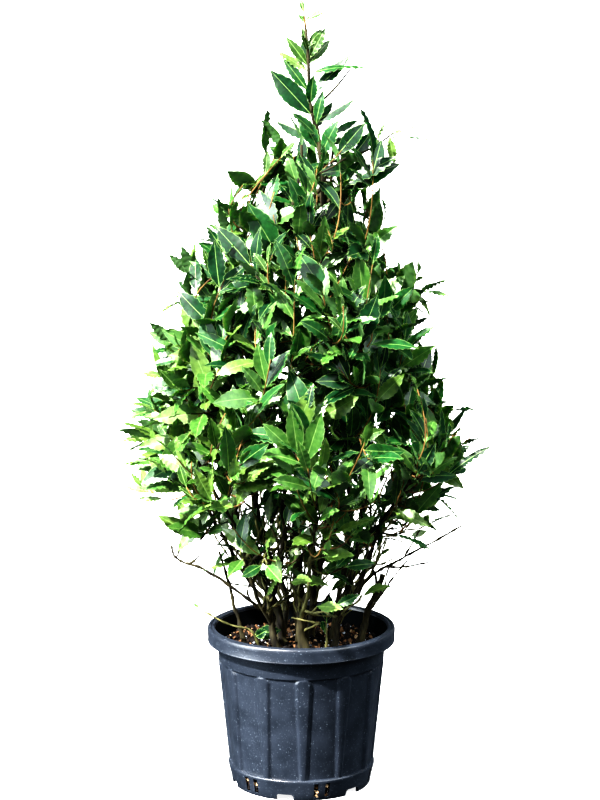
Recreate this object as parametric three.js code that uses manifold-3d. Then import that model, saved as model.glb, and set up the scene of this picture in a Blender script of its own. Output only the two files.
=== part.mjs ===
// A bay laurel grown as a loose leafy cone on several stems, in a round ribbed nursery pot.
// Millimetres, +Z up. The origin is on the pot's axis, in the plane that its feet stand on.
// Azimuth 0 is +X, and 270 degrees is -Y, the side that the plant is looked at from.
import * as THREE from "three";
import { mergeVertices } from "three/addons/utils/BufferGeometryUtils.js";
import Module from "manifold-3d";

const wasm = await Module();
wasm.setup();

const DEGREE = Math.PI / 180;
const GOLDEN_ANGLE = Math.PI * (3 - Math.sqrt(5));
// Any direction that no limb runs along.
const FRAME_HINT = new THREE.Vector3(0.36, 0.48, 0.8);
// The clearance between a piece and the one that carries it.
const SEAT_GAP = 0.3;

// The pot: a tapered shell with a deep rim, twelve sunk panels and a foot ring.
const POT_HEIGHT = 240;
const POT_SEGMENTS = 48;
const RIM_RADIUS = 140;
const RIM_DEPTH = 23;
const RIM_WIDTH = 11;
const RIM_ROUND = 2.5;
const NECK_RADIUS = 126;
const FOOT_RADIUS = 104;
const WALL = 2.4;
const FOOT_RING_WALL = 4;
const FOOT_RING_STEP = 1.2;
const FLOOR_UNDERSIDE = 11;
const PANEL_COUNT = 12;
const PANEL_BOTTOM = 32;
const PANEL_TOP = 186;
const PANEL_HEAD = 6;
const PANEL_SILL = 1;
const PANEL_DEPTH = 3;
const PANEL_PHASE = 16.5 * DEGREE;
const SLOT_GROUPS = 6;
const SLOT_WIDTH = 7;
const SLOT_BOTTOM = 5;
const SLOT_TOP = 27;
const SLOT_SPREAD = 4.6 * DEGREE;
const NOTCH_WIDTH = 26;
const NOTCH_HEIGHT = 9.5;
const CUTTER_LENGTH = 40;

// The compost that fills the pot.
const GROUND = 209;

// The stems that rise from the compost in turn from an outer and an inner ring, and their heights.
const STEM_COUNT = 7;
const STEM_FIRST_AZIMUTH = 20 * DEGREE;
const STEM_FOOT_RADII = [52, 30];
const STEM_FOOT_SPREAD = 7;
const STEM_FOOT_THICKNESS = [10, 14];
const STEM_LEAN = 10;
const STEM_LOW_HEIGHT = 271;
const STEM_BOW_HEIGHT = 385;
const STEM_BOW_SPREAD = 8;
const STEM_TWIST = 0.25;
const STEM_WANDER = 0.2;
const STEM_TIP_RADIUS = 86;
const STEM_TIP_HEIGHT = 545;
const STEM_TIP_THICKNESS = 6.4;
// How much wider a foot is than the limb above it, and the share of the limb where that fades.
const FLARE = 0.45;
const FLARE_SHARE = 0.06;

// The boughs, which leave their stem or the leader at a share of its length.
const LOW_BOUGH_SHARE = 0.22;
const LOW_BOUGH_SPREAD = 0.05;
const LOW_BOUGH_SAG = 16;
const LOW_BOUGH_THICKNESS = 6.6;
const LOW_BOUGH_TIP_THICKNESS = 5;
const LOW_BOUGH_TIP_RADIUS = 128;
const LOW_BOUGH_TIP_HEIGHT = 392;
const UPPER_BOUGHS = {
  upper: { share: 0.46, radius: 62, height: 722 },
  high: { share: 0.62, radius: 44, height: 872 },
};
const UPPER_BOUGH_SPACING = 0.026;
const UPPER_BOUGH_SPREAD = 8;
const UPPER_BOUGH_SAG = 6;
const UPPER_BOUGH_THICKNESS = 6.4;
const UPPER_BOUGH_TIP_THICKNESS = 5;
const FORK_SAG = 3;

// The leader runs from the compost to the foot of the topmost shoot, through these places.
const LEADER_PLACES = [
  [2, 8, GROUND],
  [-8, 4, 400],
  [8, -2, 620],
  [32, -4, 850],
  [26, 0, 950],
  [16, 0, 1000],
];
const LEADER_FOOT_THICKNESS = 16;
const LEADER_TIP_THICKNESS = 6;

// The crown's outline: how far its leaf tips reach to the left and to the right at each height.
const CROWN_OUTLINE = [
  [330, 120, 130],
  [370, 190, 205],
  [405, 205, 240],
  [460, 258, 245],
  [530, 272, 272],
  [560, 262, 240],
  [610, 232, 216],
  [690, 224, 190],
  [760, 190, 206],
  [800, 180, 160],
  [850, 148, 122],
  [900, 100, 108],
  [950, 62, 118],
  [1000, 52, 98],
  [1060, 50, 84],
  [1110, 36, 52],
  [1160, 10, 14],
];
const CROWN_TOP = 1160;
const CROWN_REACH = 272;

// The tiers of foliage masses: how many, the azimuth of the first in degrees, and their centres.
const TIERS = [
  { name: "lower", count: 7, first: 20, radius: 178, height: 470 },
  { name: "middle", count: 7, first: 45.7, radius: 128, height: 635 },
  { name: "upper", count: 4, first: 10, radius: 100, height: 800 },
  { name: "high", count: 3, first: 30, radius: 58, height: 925 },
  { name: "top", count: 1, first: 0, radius: 10, height: 1080 },
];
// What keeps a mass clear of its neighbours and of the limbs.
const CELL_MARGIN = 0.5;
const LIMB_CLEARANCE = 0.6;
// How far a mass's stem runs past its centre, as a share, and how far it stays inside the crown.
const MASS_STEM_SHARE = 0.62;
const MASS_STEM_INSET = 60;
const MASS_STEM_LEAD = 22;
const MASS_STEM_KNEE = 0.6;

// The shoots stand on rings round the crown, one shoot for each stretch of this length.
const SHOOT_SPACING = 84;
const SHOOT_LOWEST = 382;
const SHOOT_HIGHEST = 1100;
const SHOOT_REACH = 0.82;
const SHOOT_REACH_SPREAD = 0.3;
const SHOOT_JITTER = 0.42;
const SHOOT_RISE = 52;
const SHOOT_STARTS = [0.12, 0.22, 0.34, 0.46, 0.58, 0.7, 0.82, 0.94];
const SHOOT_SAG = 0.15;
const SHOOT_THICKNESS = 4.2;
const SHOOT_TIP_THICKNESS = 3.2;
// The tips of a few shoots that stand out from the rest.
const LATERAL_TIPS = [
  [132, -10, 972],
  [70, 6, 1062],
  [208, -14, 504],
  [-206, 12, 496],
];

// The leaves of a shoot, from its tip downwards.
const LEAVES_PER_SHOOT = 6;
const LEAFLESS_SHARE = 0.22;
const LEAF_SPACING = 18;
const LEAF_LENGTH = 94;
const LEAF_LENGTH_SPREAD = 12;
const TIP_LEAF_SHARE = 0.74;
// Leaves are shorter where the crown is narrow: this share of the length at its axis.
const NARROW_CROWN = 170;
const SHORT_LEAF_SHARE = 0.55;
const TOP_LEAF = 40;
const LEAF_WIDTH_SHARE = 0.5;
const LEAF_WIDEST = 0.44;
const LEAF_THICKNESS = 2;
const LEAF_ROOT = 1.4;
const LEAF_DROOP = 0.08;
// The angles in degrees that a leaf is tried at, and how much smaller it is at each next one.
const LEAF_PITCHES = [48, 68, 30, 84];
const LEAF_SHRINK = 0.12;
// How much a leaf's face turns outwards and along its shoot, against how much it turns up.
const FACE_OUTWARDS = 0.7;
const FACE_FORWARDS = 0.5;
// How near its root a leaf may touch its mass, and how far a tip may pass the outline.
const ROOT_ZONE = 6;
const OUTLINE_SLACK = 6;
const SHORTEST_EDGE = 0.003;

const finish = (color, roughness) =>
  new THREE.MeshStandardMaterial({ color, roughness, metalness: 0 });
const PLASTIC = finish(0x2b2f36, 0.5);
const COMPOST = finish(0x241a12, 0.95);
const BARK = finish(0x4a3a28, 0.85);
const FOLIAGE = finish(0x2f6a24, 0.45);

const plant = new THREE.Group();

// A number from 0 to 1 that is always the same for the same two counts.
function chance(first, second) {
  const wave = Math.sin(first * 12.9898 + second * 78.233) * 43758.5453;
  return wave - Math.floor(wave);
}

// The same, from -1 to 1.
function sway(first, second) {
  return 2 * chance(first, second) - 1;
}

function polar(azimuth, radius, height) {
  return new THREE.Vector3(radius * Math.cos(azimuth), radius * Math.sin(azimuth), height);
}

// The azimuth of one of a tier's masses.
function ringAzimuth(tier, index) {
  return tier.first * DEGREE + (index * 2 * Math.PI) / tier.count;
}

// How far the crown reaches at a height, on straight lines between the places of its outline. It
// is as wide as its lowest place below that, and as its highest place above.
function crownRadius(height, azimuth) {
  const above = CROWN_OUTLINE.findIndex(([level]) => level >= height);
  const high = CROWN_OUTLINE.at(above);
  const low = above > 0 ? CROWN_OUTLINE[above - 1] : high;
  const share = above > 0 ? (height - low[0]) / (high[0] - low[0]) : 1;
  const left = THREE.MathUtils.lerp(low[1], high[1], share);
  const right = THREE.MathUtils.lerp(low[2], high[2], share);
  return (left + right) / 2 + ((right - left) / 2) * Math.cos(azimuth);
}

function solidOf(geometry) {
  const bare = geometry.clone();
  bare.deleteAttribute("normal");
  bare.deleteAttribute("uv");
  const merged = mergeVertices(bare, 1e-3);
  return new wasm.Manifold(
    new wasm.Mesh({
      numProp: 3,
      vertProperties: new Float32Array(merged.getAttribute("position").array),
      triVerts: new Uint32Array(merged.index.array),
    }),
  );
}

// The largest closed body of a solid, which leaves out loose scraps and sealed hollows.
function mainBody(solid) {
  return solid.decompose().reduce((best, body) => (body.volume() > best.volume() ? body : best));
}

function addNode(name, solid, material) {
  const { vertProperties, triVerts } = mainBody(solid).getMesh();
  const geometry = new THREE.BufferGeometry();
  geometry.setAttribute("position", new THREE.BufferAttribute(vertProperties, 3));
  geometry.setIndex(new THREE.BufferAttribute(triVerts, 1));
  geometry.computeVertexNormals();
  const mesh = new THREE.Mesh(geometry, material);
  mesh.name = name;
  plant.add(mesh);
}

// The place on a curve with its direction and two directions square to it, which turn evenly.
function frameAt(curve, t) {
  const chord = curve.getPoint(1).sub(curve.getPoint(0));
  const reference = chord.cross(FRAME_HINT).normalize();
  const tangent = curve.getTangent(t);
  const across = reference.addScaledVector(tangent, -reference.dot(tangent)).normalize();
  const third = new THREE.Vector3().crossVectors(across, tangent);
  return { place: curve.getPoint(t), tangent, across, third };
}

// A tapered piece that follows a curve: a cylinder of many rings, each set square to the curve.
// A foot that stands on the compost is cut level with it.
function sweep(curve, radiusAt, { sides, rings, footLevel = null }) {
  const geometry = new THREE.CylinderGeometry(1, 1, 1, sides, rings);
  const position = geometry.getAttribute("position");
  for (let i = 0; i < position.count; i++) {
    const t = position.getY(i) + 0.5;
    const { place, across, third } = frameAt(curve, t);
    place.addScaledVector(across, position.getX(i) * radiusAt(t));
    place.addScaledVector(third, position.getZ(i) * radiusAt(t));
    const height = t < 1e-6 && footLevel !== null ? footLevel : place.z;
    position.setXYZ(i, place.x, place.y, height);
  }
  return geometry;
}

// A limb's radius, from its thickness at its foot and its tip: an even taper, with a flare at the
// foot of a limb that stands in the compost.
function taper(foot, tip, flare = 0) {
  return (t) => (THREE.MathUtils.lerp(foot, tip, t) + foot * flare * Math.exp(-t / FLARE_SHARE)) / 2;
}

function wander(places) {
  return new THREE.CatmullRomCurve3(places, false, "catmullrom", 0.5);
}

const NECK_HEIGHT = POT_HEIGHT - RIM_DEPTH;

function outerRadius(height) {
  return THREE.MathUtils.mapLinear(height, 0, NECK_HEIGHT, FOOT_RADIUS, NECK_RADIUS);
}

// The inside of the pot's wall, which is thicker where the panels are sunk into it.
function innerRadius(height) {
  const collar = THREE.MathUtils.smoothstep(height, PANEL_TOP + PANEL_HEAD, NECK_HEIGHT);
  return outerRadius(height) - WALL - PANEL_DEPTH * (1 - collar);
}

function lathe(profile) {
  const points = profile.map(([radius, height]) => new THREE.Vector2(radius, height));
  const firstSegment = PANEL_PHASE + Math.PI / POT_SEGMENTS;
  return new THREE.LatheGeometry(points, POT_SEGMENTS, firstSegment).rotateX(Math.PI / 2);
}

function potProfile() {
  const floorTop = FLOOR_UNDERSIDE + WALL;
  return [
    [0, FLOOR_UNDERSIDE],
    [FOOT_RADIUS - FOOT_RING_WALL, FLOOR_UNDERSIDE],
    [FOOT_RADIUS - FOOT_RING_WALL, 0],
    [FOOT_RADIUS, 0],
    [outerRadius(PANEL_BOTTOM) + FOOT_RING_STEP, PANEL_BOTTOM],
    [outerRadius(PANEL_BOTTOM), PANEL_BOTTOM + PANEL_SILL],
    [outerRadius(PANEL_TOP), PANEL_TOP],
    [outerRadius(PANEL_TOP + PANEL_HEAD), PANEL_TOP + PANEL_HEAD],
    [NECK_RADIUS, NECK_HEIGHT],
    [RIM_RADIUS - RIM_ROUND, NECK_HEIGHT],
    [RIM_RADIUS, NECK_HEIGHT + RIM_ROUND],
    [RIM_RADIUS, POT_HEIGHT - RIM_ROUND],
    [RIM_RADIUS - RIM_ROUND, POT_HEIGHT],
    [RIM_RADIUS - RIM_WIDTH, POT_HEIGHT],
    [innerRadius(NECK_HEIGHT), NECK_HEIGHT],
    [innerRadius(PANEL_TOP + PANEL_HEAD), PANEL_TOP + PANEL_HEAD],
    [innerRadius(floorTop), floorTop],
    [0, floorTop],
  ];
}

// How deep a panel is sunk at a place on the wall: full in its middle, none between panels.
function panelDepth(fromFront, height) {
  if (height < PANEL_BOTTOM + PANEL_SILL / 2 || height > PANEL_TOP + PANEL_HEAD / 2) return 0;
  const turn = (2 * Math.PI) / PANEL_COUNT;
  const offset = THREE.MathUtils.euclideanModulo(fromFront - PANEL_PHASE + turn / 2, turn) - turn / 2;
  return Math.abs(offset) < turn / 4 ? PANEL_DEPTH : 0;
}

function potShell() {
  const shell = lathe(potProfile());
  const position = shell.getAttribute("position");
  for (let i = 0; i < position.count; i++) {
    const [x, y, height] = [position.getX(i), position.getY(i), position.getZ(i)];
    const radius = Math.hypot(x, y);
    if (radius < outerRadius(height) - WALL / 2) continue;
    const narrower = 1 - panelDepth(Math.atan2(y, x) + Math.PI / 2, height) / radius;
    position.setXY(i, x * narrower, y * narrower);
  }
  return solidOf(shell);
}

// A box through the pot's wall and the edge of its floor, turned to an azimuth from the front.
function wallCutter(fromFront, width, bottom, top) {
  const cutter = new THREE.BoxGeometry(width, CUTTER_LENGTH, top - bottom);
  cutter.translate(0, -FOOT_RADIUS, (bottom + top) / 2);
  cutter.rotateZ(fromFront);
  return solidOf(cutter);
}

function makePot() {
  let pot = potShell();
  for (let group = 0; group < SLOT_GROUPS; group++) {
    const slots = PANEL_PHASE + (group * 2 * Math.PI) / SLOT_GROUPS;
    for (const side of [-1, 1]) {
      pot = pot.subtract(wallCutter(slots + side * SLOT_SPREAD, SLOT_WIDTH, SLOT_BOTTOM, SLOT_TOP));
    }
    const notch = slots + Math.PI / SLOT_GROUPS;
    pot = pot.subtract(wallCutter(notch, NOTCH_WIDTH, -NOTCH_HEIGHT, NOTCH_HEIGHT));
  }
  addNode("pot", pot, PLASTIC);
}

function makeCompost() {
  const levels = [FLOOR_UNDERSIDE + WALL + SEAT_GAP, PANEL_TOP + PANEL_HEAD, GROUND];
  const side = levels.map((level) => [innerRadius(level) - SEAT_GAP, level]);
  addNode("compost", solidOf(lathe([[0, levels[0]], ...side, [0, GROUND]])), COMPOST);
}

// Limbs. Each is kept with its curve, so that boughs and masses can start on it, and can be made
// again a little thicker, which is the space that it and the clearance round it take up.
const limbs = [];

function addLimb(name, curve, radiusAt, { carrier = null, ...form }) {
  const grown = (extra) => solidOf(sweep(curve, (t) => radiusAt(t) + extra, form));
  const limb = { curve, radiusAt, grown };
  addNode(name, carrier ? grown(0).subtract(carrier.grown(SEAT_GAP)) : grown(0), BARK);
  limbs.push(limb);
  return limb;
}

function makeLeader() {
  const places = LEADER_PLACES.map((place) => new THREE.Vector3(...place));
  places[0].z += SEAT_GAP;
  const radiusAt = taper(LEADER_FOOT_THICKNESS, LEADER_TIP_THICKNESS, FLARE);
  const form = { sides: 6, rings: 11, footLevel: GROUND + SEAT_GAP };
  return addLimb("leader", wander(places), radiusAt, form);
}

// A stem leans out from its foot, bows a little to one side and ends under its mass.
function makeStem(index) {
  const azimuth = STEM_FIRST_AZIMUTH + (index * 2 * Math.PI) / STEM_COUNT;
  const footRadius = STEM_FOOT_RADII[index % 2] + STEM_FOOT_SPREAD * sway(index, 1);
  const lowAzimuth = azimuth + STEM_WANDER * sway(index, 5);
  const bowAzimuth = azimuth + STEM_TWIST + STEM_WANDER * sway(index, 2);
  const bowRadius = STEM_TIP_RADIUS - STEM_BOW_SPREAD * sway(index, 6);
  const curve = wander([
    polar(azimuth, footRadius, GROUND + SEAT_GAP),
    polar(lowAzimuth, footRadius + STEM_LEAN, STEM_LOW_HEIGHT),
    polar(bowAzimuth, bowRadius, STEM_BOW_HEIGHT),
    polar(ringAzimuth(TIERS[1], index), STEM_TIP_RADIUS, STEM_TIP_HEIGHT),
  ]);
  const radiusAt = taper(STEM_FOOT_THICKNESS[index % 2], STEM_TIP_THICKNESS, FLARE);
  const form = { sides: 6, rings: 6, footLevel: GROUND + SEAT_GAP };
  return addLimb(`stem_${index + 1}`, curve, radiusAt, form);
}

// A bough's curve, which sags a little between its start and its tip.
function sagging(start, tip, sag) {
  const bend = start.clone().lerp(tip, 0.5);
  bend.z -= sag;
  return wander([start, bend, tip]);
}

// A low bough leaves its stem near the compost and spreads out to the lowest masses.
function makeLowBough(stem, index) {
  const start = stem.curve.getPoint(LOW_BOUGH_SHARE + LOW_BOUGH_SPREAD * sway(index, 3));
  const tip = polar(ringAzimuth(TIERS[0], index), LOW_BOUGH_TIP_RADIUS, LOW_BOUGH_TIP_HEIGHT);
  const curve = sagging(start, tip, LOW_BOUGH_SAG);
  const radiusAt = taper(LOW_BOUGH_THICKNESS, LOW_BOUGH_TIP_THICKNESS);
  return addLimb(`low_bough_${index + 1}`, curve, radiusAt, { sides: 5, rings: 3, carrier: stem });
}

// The boughs of a tier leave the leader one above another, on all sides.
function makeUpperBoughs(leader, tier) {
  const { share, radius, height } = UPPER_BOUGHS[tier.name];
  return Array.from({ length: tier.count }, (_, index) => {
    const start = leader.curve.getPoint(share + UPPER_BOUGH_SPACING * index);
    const tipHeight = height + UPPER_BOUGH_SPREAD * sway(index, 4);
    const curve = sagging(start, polar(ringAzimuth(tier, index), radius, tipHeight), UPPER_BOUGH_SAG);
    const radiusAt = taper(UPPER_BOUGH_THICKNESS, UPPER_BOUGH_TIP_THICKNESS);
    const form = { sides: 5, rings: 3, carrier: leader };
    return addLimb(`${tier.name}_bough_${index + 1}`, curve, radiusAt, form);
  });
}

// The bare growth that shows between the pot and the leaves: dead wood and thin side twigs.
// Each starts in the compost or on a stem, at a share of that stem's length.
const BARE_GROWTH = [
  {
    name: "pruned_stub",
    places: [[86, -6, GROUND], [100, -6, 262], [121, -6, 318]],
    thickness: [10, 8],
    forks: [{ at: 0.82, to: [104, -2, 330], thickness: [5, 3.4] }],
  },
  {
    name: "back_twig",
    places: [[88, 46, GROUND], [106, 48, 255], [160, 50, 326]],
    thickness: [3.6, 2],
    forks: [{ at: 0.55, to: [134, 52, 318], thickness: [2.4, 1.6] }],
  },
  {
    name: "left_straight_twig",
    places: [[-84, -2, GROUND], [-103, -2, 282], [-122, -2, 352]],
    thickness: [6, 3],
    forks: [],
  },
  {
    name: "left_low_shoot",
    places: [[-62, -14, GROUND], [-74, -20, 236], [-108, -26, 247], [-149, -28, 270]],
    thickness: [3.6, 2],
    forks: [],
  },
  {
    name: "left_bare_twig",
    stem: 3,
    share: 0.2,
    places: [[-132, -18, 322], [-180, -20, 343], [-192, -22, 366]],
    thickness: [4.8, 2.2],
    forks: [
      { at: 0.55, to: [-150, -24, 352], thickness: [2.6, 1.6] },
      { at: 0.72, to: [-176, -10, 374], thickness: [2.4, 1.6] },
    ],
  },
  {
    name: "right_bare_twig",
    stem: 6,
    share: 0.3,
    places: [[104, -28, 322], [160, -25, 352], [236, -22, 396]],
    thickness: [5, 2.2],
    forks: [
      { at: 0.45, to: [192, -34, 344], thickness: [2.8, 1.8] },
      { at: 0.62, to: [176, -14, 390], thickness: [2.6, 1.6] },
    ],
  },
];

function forkSolid(curve, { at, to, thickness }, extra) {
  const fork = sagging(curve.getPoint(at), new THREE.Vector3(...to), FORK_SAG);
  const radiusAt = taper(...thickness);
  return solidOf(sweep(fork, (t) => radiusAt(t) + extra, { sides: 4, rings: 1 }));
}

function makeBareTwig({ name, stem, share, places, thickness, forks }, stems) {
  const points = places.map((place) => new THREE.Vector3(...place));
  const carrier = stem === undefined ? null : stems[stem];
  if (carrier) points.unshift(carrier.curve.getPoint(share));
  else points[0].z += SEAT_GAP;
  const form = { sides: carrier ? 4 : 6, rings: 4, footLevel: carrier ? null : GROUND + SEAT_GAP };
  const curve = wander(points);
  const flare = carrier ? 0 : FLARE;
  const radiusAt = taper(...thickness, flare);
  const grown = (extra) => {
    const twig = solidOf(sweep(curve, (t) => radiusAt(t) + extra, form));
    return forks.reduce((forked, fork) => forked.add(forkSolid(curve, fork, extra)), twig);
  };
  addNode(name, carrier ? grown(0).subtract(carrier.grown(SEAT_GAP)) : grown(0), BARK);
  limbs.push({ grown });
}

// Foliage masses. Each keeps to the space that is nearer to its own centre than to any other.
function planMasses(carriers) {
  return TIERS.flatMap((tier) =>
    Array.from({ length: tier.count }, (_, index) => ({
      name: `${tier.name}_foliage_${index + 1}`,
      centre: polar(ringAzimuth(tier, index), tier.radius, tier.height),
      carrier: carriers[tier.name][index],
      tips: [],
    })),
  );
}

function inOwnSpace(point, mass) {
  return mass.walls.every((wall) => wall.distanceToPoint(point) >= CELL_MARGIN);
}

// The planes halfway to the other masses, each with its normal towards this one.
function planWalls(mass, masses) {
  mass.walls = masses
    .filter((other) => other !== mass)
    .map((other) => {
      const normal = mass.centre.clone().sub(other.centre).normalize();
      const middle = mass.centre.clone().add(other.centre).multiplyScalar(0.5);
      return new THREE.Plane().setFromNormalAndCoplanarPoint(normal, middle);
    });
}

// The stem of a mass goes on from its limb's tip through the middle of the mass.
function planMassStem(mass) {
  const { curve, radiusAt } = mass.carrier;
  const direction = curve.getTangent(1);
  const root = curve.getPoint(1).addScaledVector(direction, SEAT_GAP);
  const end = root.clone().lerp(mass.centre, 1 + MASS_STEM_SHARE);
  const reach = crownRadius(end.z, Math.atan2(end.y, end.x));
  const farthest = Math.max(reach - MASS_STEM_INSET, reach / 2);
  const shrink = Math.min(1, farthest / Math.hypot(end.x, end.y));
  end.set(end.x * shrink, end.y * shrink, Math.min(end.z, CROWN_TOP - TOP_LEAF));
  const bend = root.clone().addScaledVector(direction, MASS_STEM_LEAD);
  mass.stem = wander([root, bend, root.clone().lerp(end, MASS_STEM_KNEE), end]);
  mass.stemRadius = taper(2 * radiusAt(1), SHOOT_THICKNESS);
}

// The places of the shoot tips, on rings round the crown with a little disorder.
function shootTips() {
  const tips = [];
  for (let ring = 0; SHOOT_LOWEST + ring * SHOOT_SPACING < SHOOT_HIGHEST; ring++) {
    const level = SHOOT_LOWEST + ring * SHOOT_SPACING;
    const girth = 2 * Math.PI * SHOOT_REACH * crownRadius(level, Math.PI / 2);
    const count = Math.max(2, Math.round(girth / SHOOT_SPACING));
    for (let k = 0; k < count; k++) {
      const turn = (k + SHOOT_JITTER * sway(ring, k)) / count;
      const azimuth = ring * GOLDEN_ANGLE + turn * 2 * Math.PI;
      const height = level + SHOOT_JITTER * SHOOT_SPACING * sway(ring + 40, k);
      const reach = SHOOT_REACH - SHOOT_REACH_SPREAD * chance(ring + 80, k) ** 3;
      tips.push(polar(azimuth, reach * crownRadius(height, azimuth), height));
    }
  }
  return [...LATERAL_TIPS.map((place) => new THREE.Vector3(...place)), ...tips];
}

function shareOut(tips, masses) {
  tips.forEach((tip, seed) => {
    const distance = (mass) => mass.centre.distanceTo(tip);
    const nearest = masses.reduce((best, mass) => (distance(mass) < distance(best) ? mass : best));
    nearest.tips.push({ tip, seed });
  });
}

// A shoot leaves the mass's stem below its own tip, and turns up towards that tip.
function shootCurve(mass, tip) {
  const aim = tip.clone();
  aim.z -= SHOOT_RISE;
  const places = SHOOT_STARTS.map((t) => mass.stem.getPoint(t));
  const nearer = (best, place) => (place.distanceTo(aim) < best.distanceTo(aim) ? place : best);
  const start = places.reduce(nearer);
  const bend = start.clone().lerp(tip, 0.5);
  bend.z -= SHOOT_SAG * start.distanceTo(tip);
  return new THREE.QuadraticBezierCurve3(start, bend, tip);
}

// A leaf in its own frame: X across, Y from root to tip, Z out of its upper face. It is a
// three-sided spindle: two of its sides' corners are the leaf's edges and one is the midrib's keel.
function leafGeometry(length) {
  const leaf = new THREE.SphereGeometry(1, 3, 2);
  const position = leaf.getAttribute("position");
  for (let i = 0; i < position.count; i++) {
    const [x, y, z] = [position.getX(i), position.getY(i), position.getZ(i)];
    if (y > 0.5) position.setXYZ(i, 0, length, -LEAF_DROOP * length);
    else if (y < -0.5) position.setXYZ(i, 0, -LEAF_ROOT, 0);
    else if (x < 0) position.setXYZ(i, 0, LEAF_WIDEST * length, -LEAF_THICKNESS);
    else position.setXYZ(i, (-Math.sign(z) * LEAF_WIDTH_SHARE * length) / 2, LEAF_WIDEST * length, 0);
  }
  return leaf;
}

// The place of a leaf: its root in the shoot, its tip leaning out of one of the shoot's three
// sides, its face turned up and outwards to the light.
function leafFrame(curve, along, side, pitch) {
  const { place, tangent, across, third } = frameAt(curve, along);
  const turn = (60 + 120 * side) * DEGREE;
  const spread = across.multiplyScalar(Math.sin(turn)).addScaledVector(third, Math.cos(turn));
  const direction = spread.multiplyScalar(Math.sin(pitch)).addScaledVector(tangent, Math.cos(pitch));
  const outward = new THREE.Vector3(place.x, place.y, 0).normalize();
  const face = new THREE.Vector3(0, 0, 1).addScaledVector(outward, FACE_OUTWARDS);
  face.addScaledVector(tangent, FACE_FORWARDS);
  face.addScaledVector(direction, -face.dot(direction)).normalize();
  const sideways = new THREE.Vector3().crossVectors(direction, face);
  return new THREE.Matrix4().makeBasis(sideways, direction, face).setPosition(place);
}

function withinCrown(point) {
  const reach = crownRadius(point.z, Math.atan2(point.y, point.x)) + OUTLINE_SLACK;
  const square = Math.max(Math.abs(point.x), Math.abs(point.y));
  return Math.hypot(point.x, point.y) <= reach && square <= CROWN_REACH && point.z <= CROWN_TOP;
}

function corners(geometry) {
  const position = geometry.getAttribute("position");
  const corner = (i) => new THREE.Vector3().fromBufferAttribute(position, i);
  return Array.from({ length: position.count }, (_, i) => corner(i));
}

// The shortest edge of a solid, which tells of slivers that a coarser copy would tear open.
function shortestEdge(solid) {
  const { vertProperties, triVerts } = solid.getMesh();
  const corner = (i) => new THREE.Vector3().fromArray(vertProperties, 3 * triVerts[i]);
  let shortest = Infinity;
  for (let i = 0; i < triVerts.length; i++) {
    const next = i % 3 === 2 ? i - 2 : i + 1;
    shortest = Math.min(shortest, corner(i).distanceTo(corner(next)));
  }
  return shortest;
}

// Joins one more leaf or shoot to its mass, unless the union would have slivers.
function fuse(mass, solid) {
  const fused = mass.solid.add(solid);
  if (shortestEdge(fused) < SHORTEST_EDGE) return false;
  mass.solid = fused;
  return true;
}

// Whether a leaf or shoot meets what is there already nowhere but at its own root.
function touchesOnlyAt(root, solid, others) {
  const shared = solid.intersect(others);
  if (shared.isEmpty()) return true;
  const { min, max } = shared.boundingBox();
  return [min, max].every((corner) => new THREE.Vector3(...corner).distanceTo(root) < ROOT_ZONE);
}

// Adds one leaf, tried on each side of its shoot and at a few angles, where one fits.
function fitLeaf(mass, curve, seed, k, limbSpace) {
  const along = 1 - (k * LEAF_SPACING) / curve.getLength();
  if (along < LEAFLESS_SHARE) return;
  const root = curve.getPoint(along);
  const width = Math.min(1, crownRadius(root.z, 0) / NARROW_CROWN);
  const share = THREE.MathUtils.lerp(SHORT_LEAF_SHARE, 1, width) * (k === 0 ? TIP_LEAF_SHARE : 1);
  const length = (LEAF_LENGTH + LEAF_LENGTH_SPREAD * sway(seed, k + 20)) * share;
  for (const [round, wider] of LEAF_PITCHES.entries()) {
    for (let side = seed + k; side < seed + k + 3; side++) {
      const pitch = (k === 0 ? wider / 2 : wider + 3 * k) * DEGREE;
      const leaf = leafGeometry(length * (1 - LEAF_SHRINK * round));
      leaf.applyMatrix4(leafFrame(curve, along, side, pitch));
      if (!corners(leaf).every((corner) => withinCrown(corner) && inOwnSpace(corner, mass))) continue;
      const solid = solidOf(leaf);
      if (!solid.intersect(limbSpace).isEmpty() || !touchesOnlyAt(root, solid, mass.solid)) continue;
      if (fuse(mass, solid)) return;
    }
  }
}

// Adds a bare shoot to its mass, where it stays clear of the limbs and the other shoots.
function fitShoot(mass, { tip, seed }, limbSpace) {
  const curve = shootCurve(mass, tip);
  const shoot = sweep(curve, taper(SHOOT_THICKNESS, SHOOT_TIP_THICKNESS), { sides: 3, rings: 2 });
  if (!corners(shoot).every((corner) => inOwnSpace(corner, mass))) return [];
  const solid = solidOf(shoot);
  return solid.intersect(limbSpace).isEmpty() && fuse(mass, solid) ? [{ curve, seed }] : [];
}

function makeMass(mass, limbSpace) {
  mass.solid = solidOf(sweep(mass.stem, mass.stemRadius, { sides: 3, rings: 4 }));
  const leader = { curve: mass.stem, seed: mass.tips.length };
  const shoots = [leader, ...mass.tips.flatMap((place) => fitShoot(mass, place, limbSpace))];
  for (let k = 0; k < LEAVES_PER_SHOOT; k++) {
    for (const { curve, seed } of shoots) {
      fitLeaf(mass, curve, seed, k, limbSpace);
    }
  }
  addNode(mass.name, mass.solid, FOLIAGE);
}

makePot();
makeCompost();
const leader = makeLeader();
const stems = Array.from({ length: STEM_COUNT }, (_, index) => makeStem(index));
const carriers = {
  lower: stems.map(makeLowBough),
  middle: stems,
  upper: makeUpperBoughs(leader, TIERS[2]),
  high: makeUpperBoughs(leader, TIERS[3]),
  top: [leader],
};
BARE_GROWTH.forEach((twig) => makeBareTwig(twig, stems));

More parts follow.
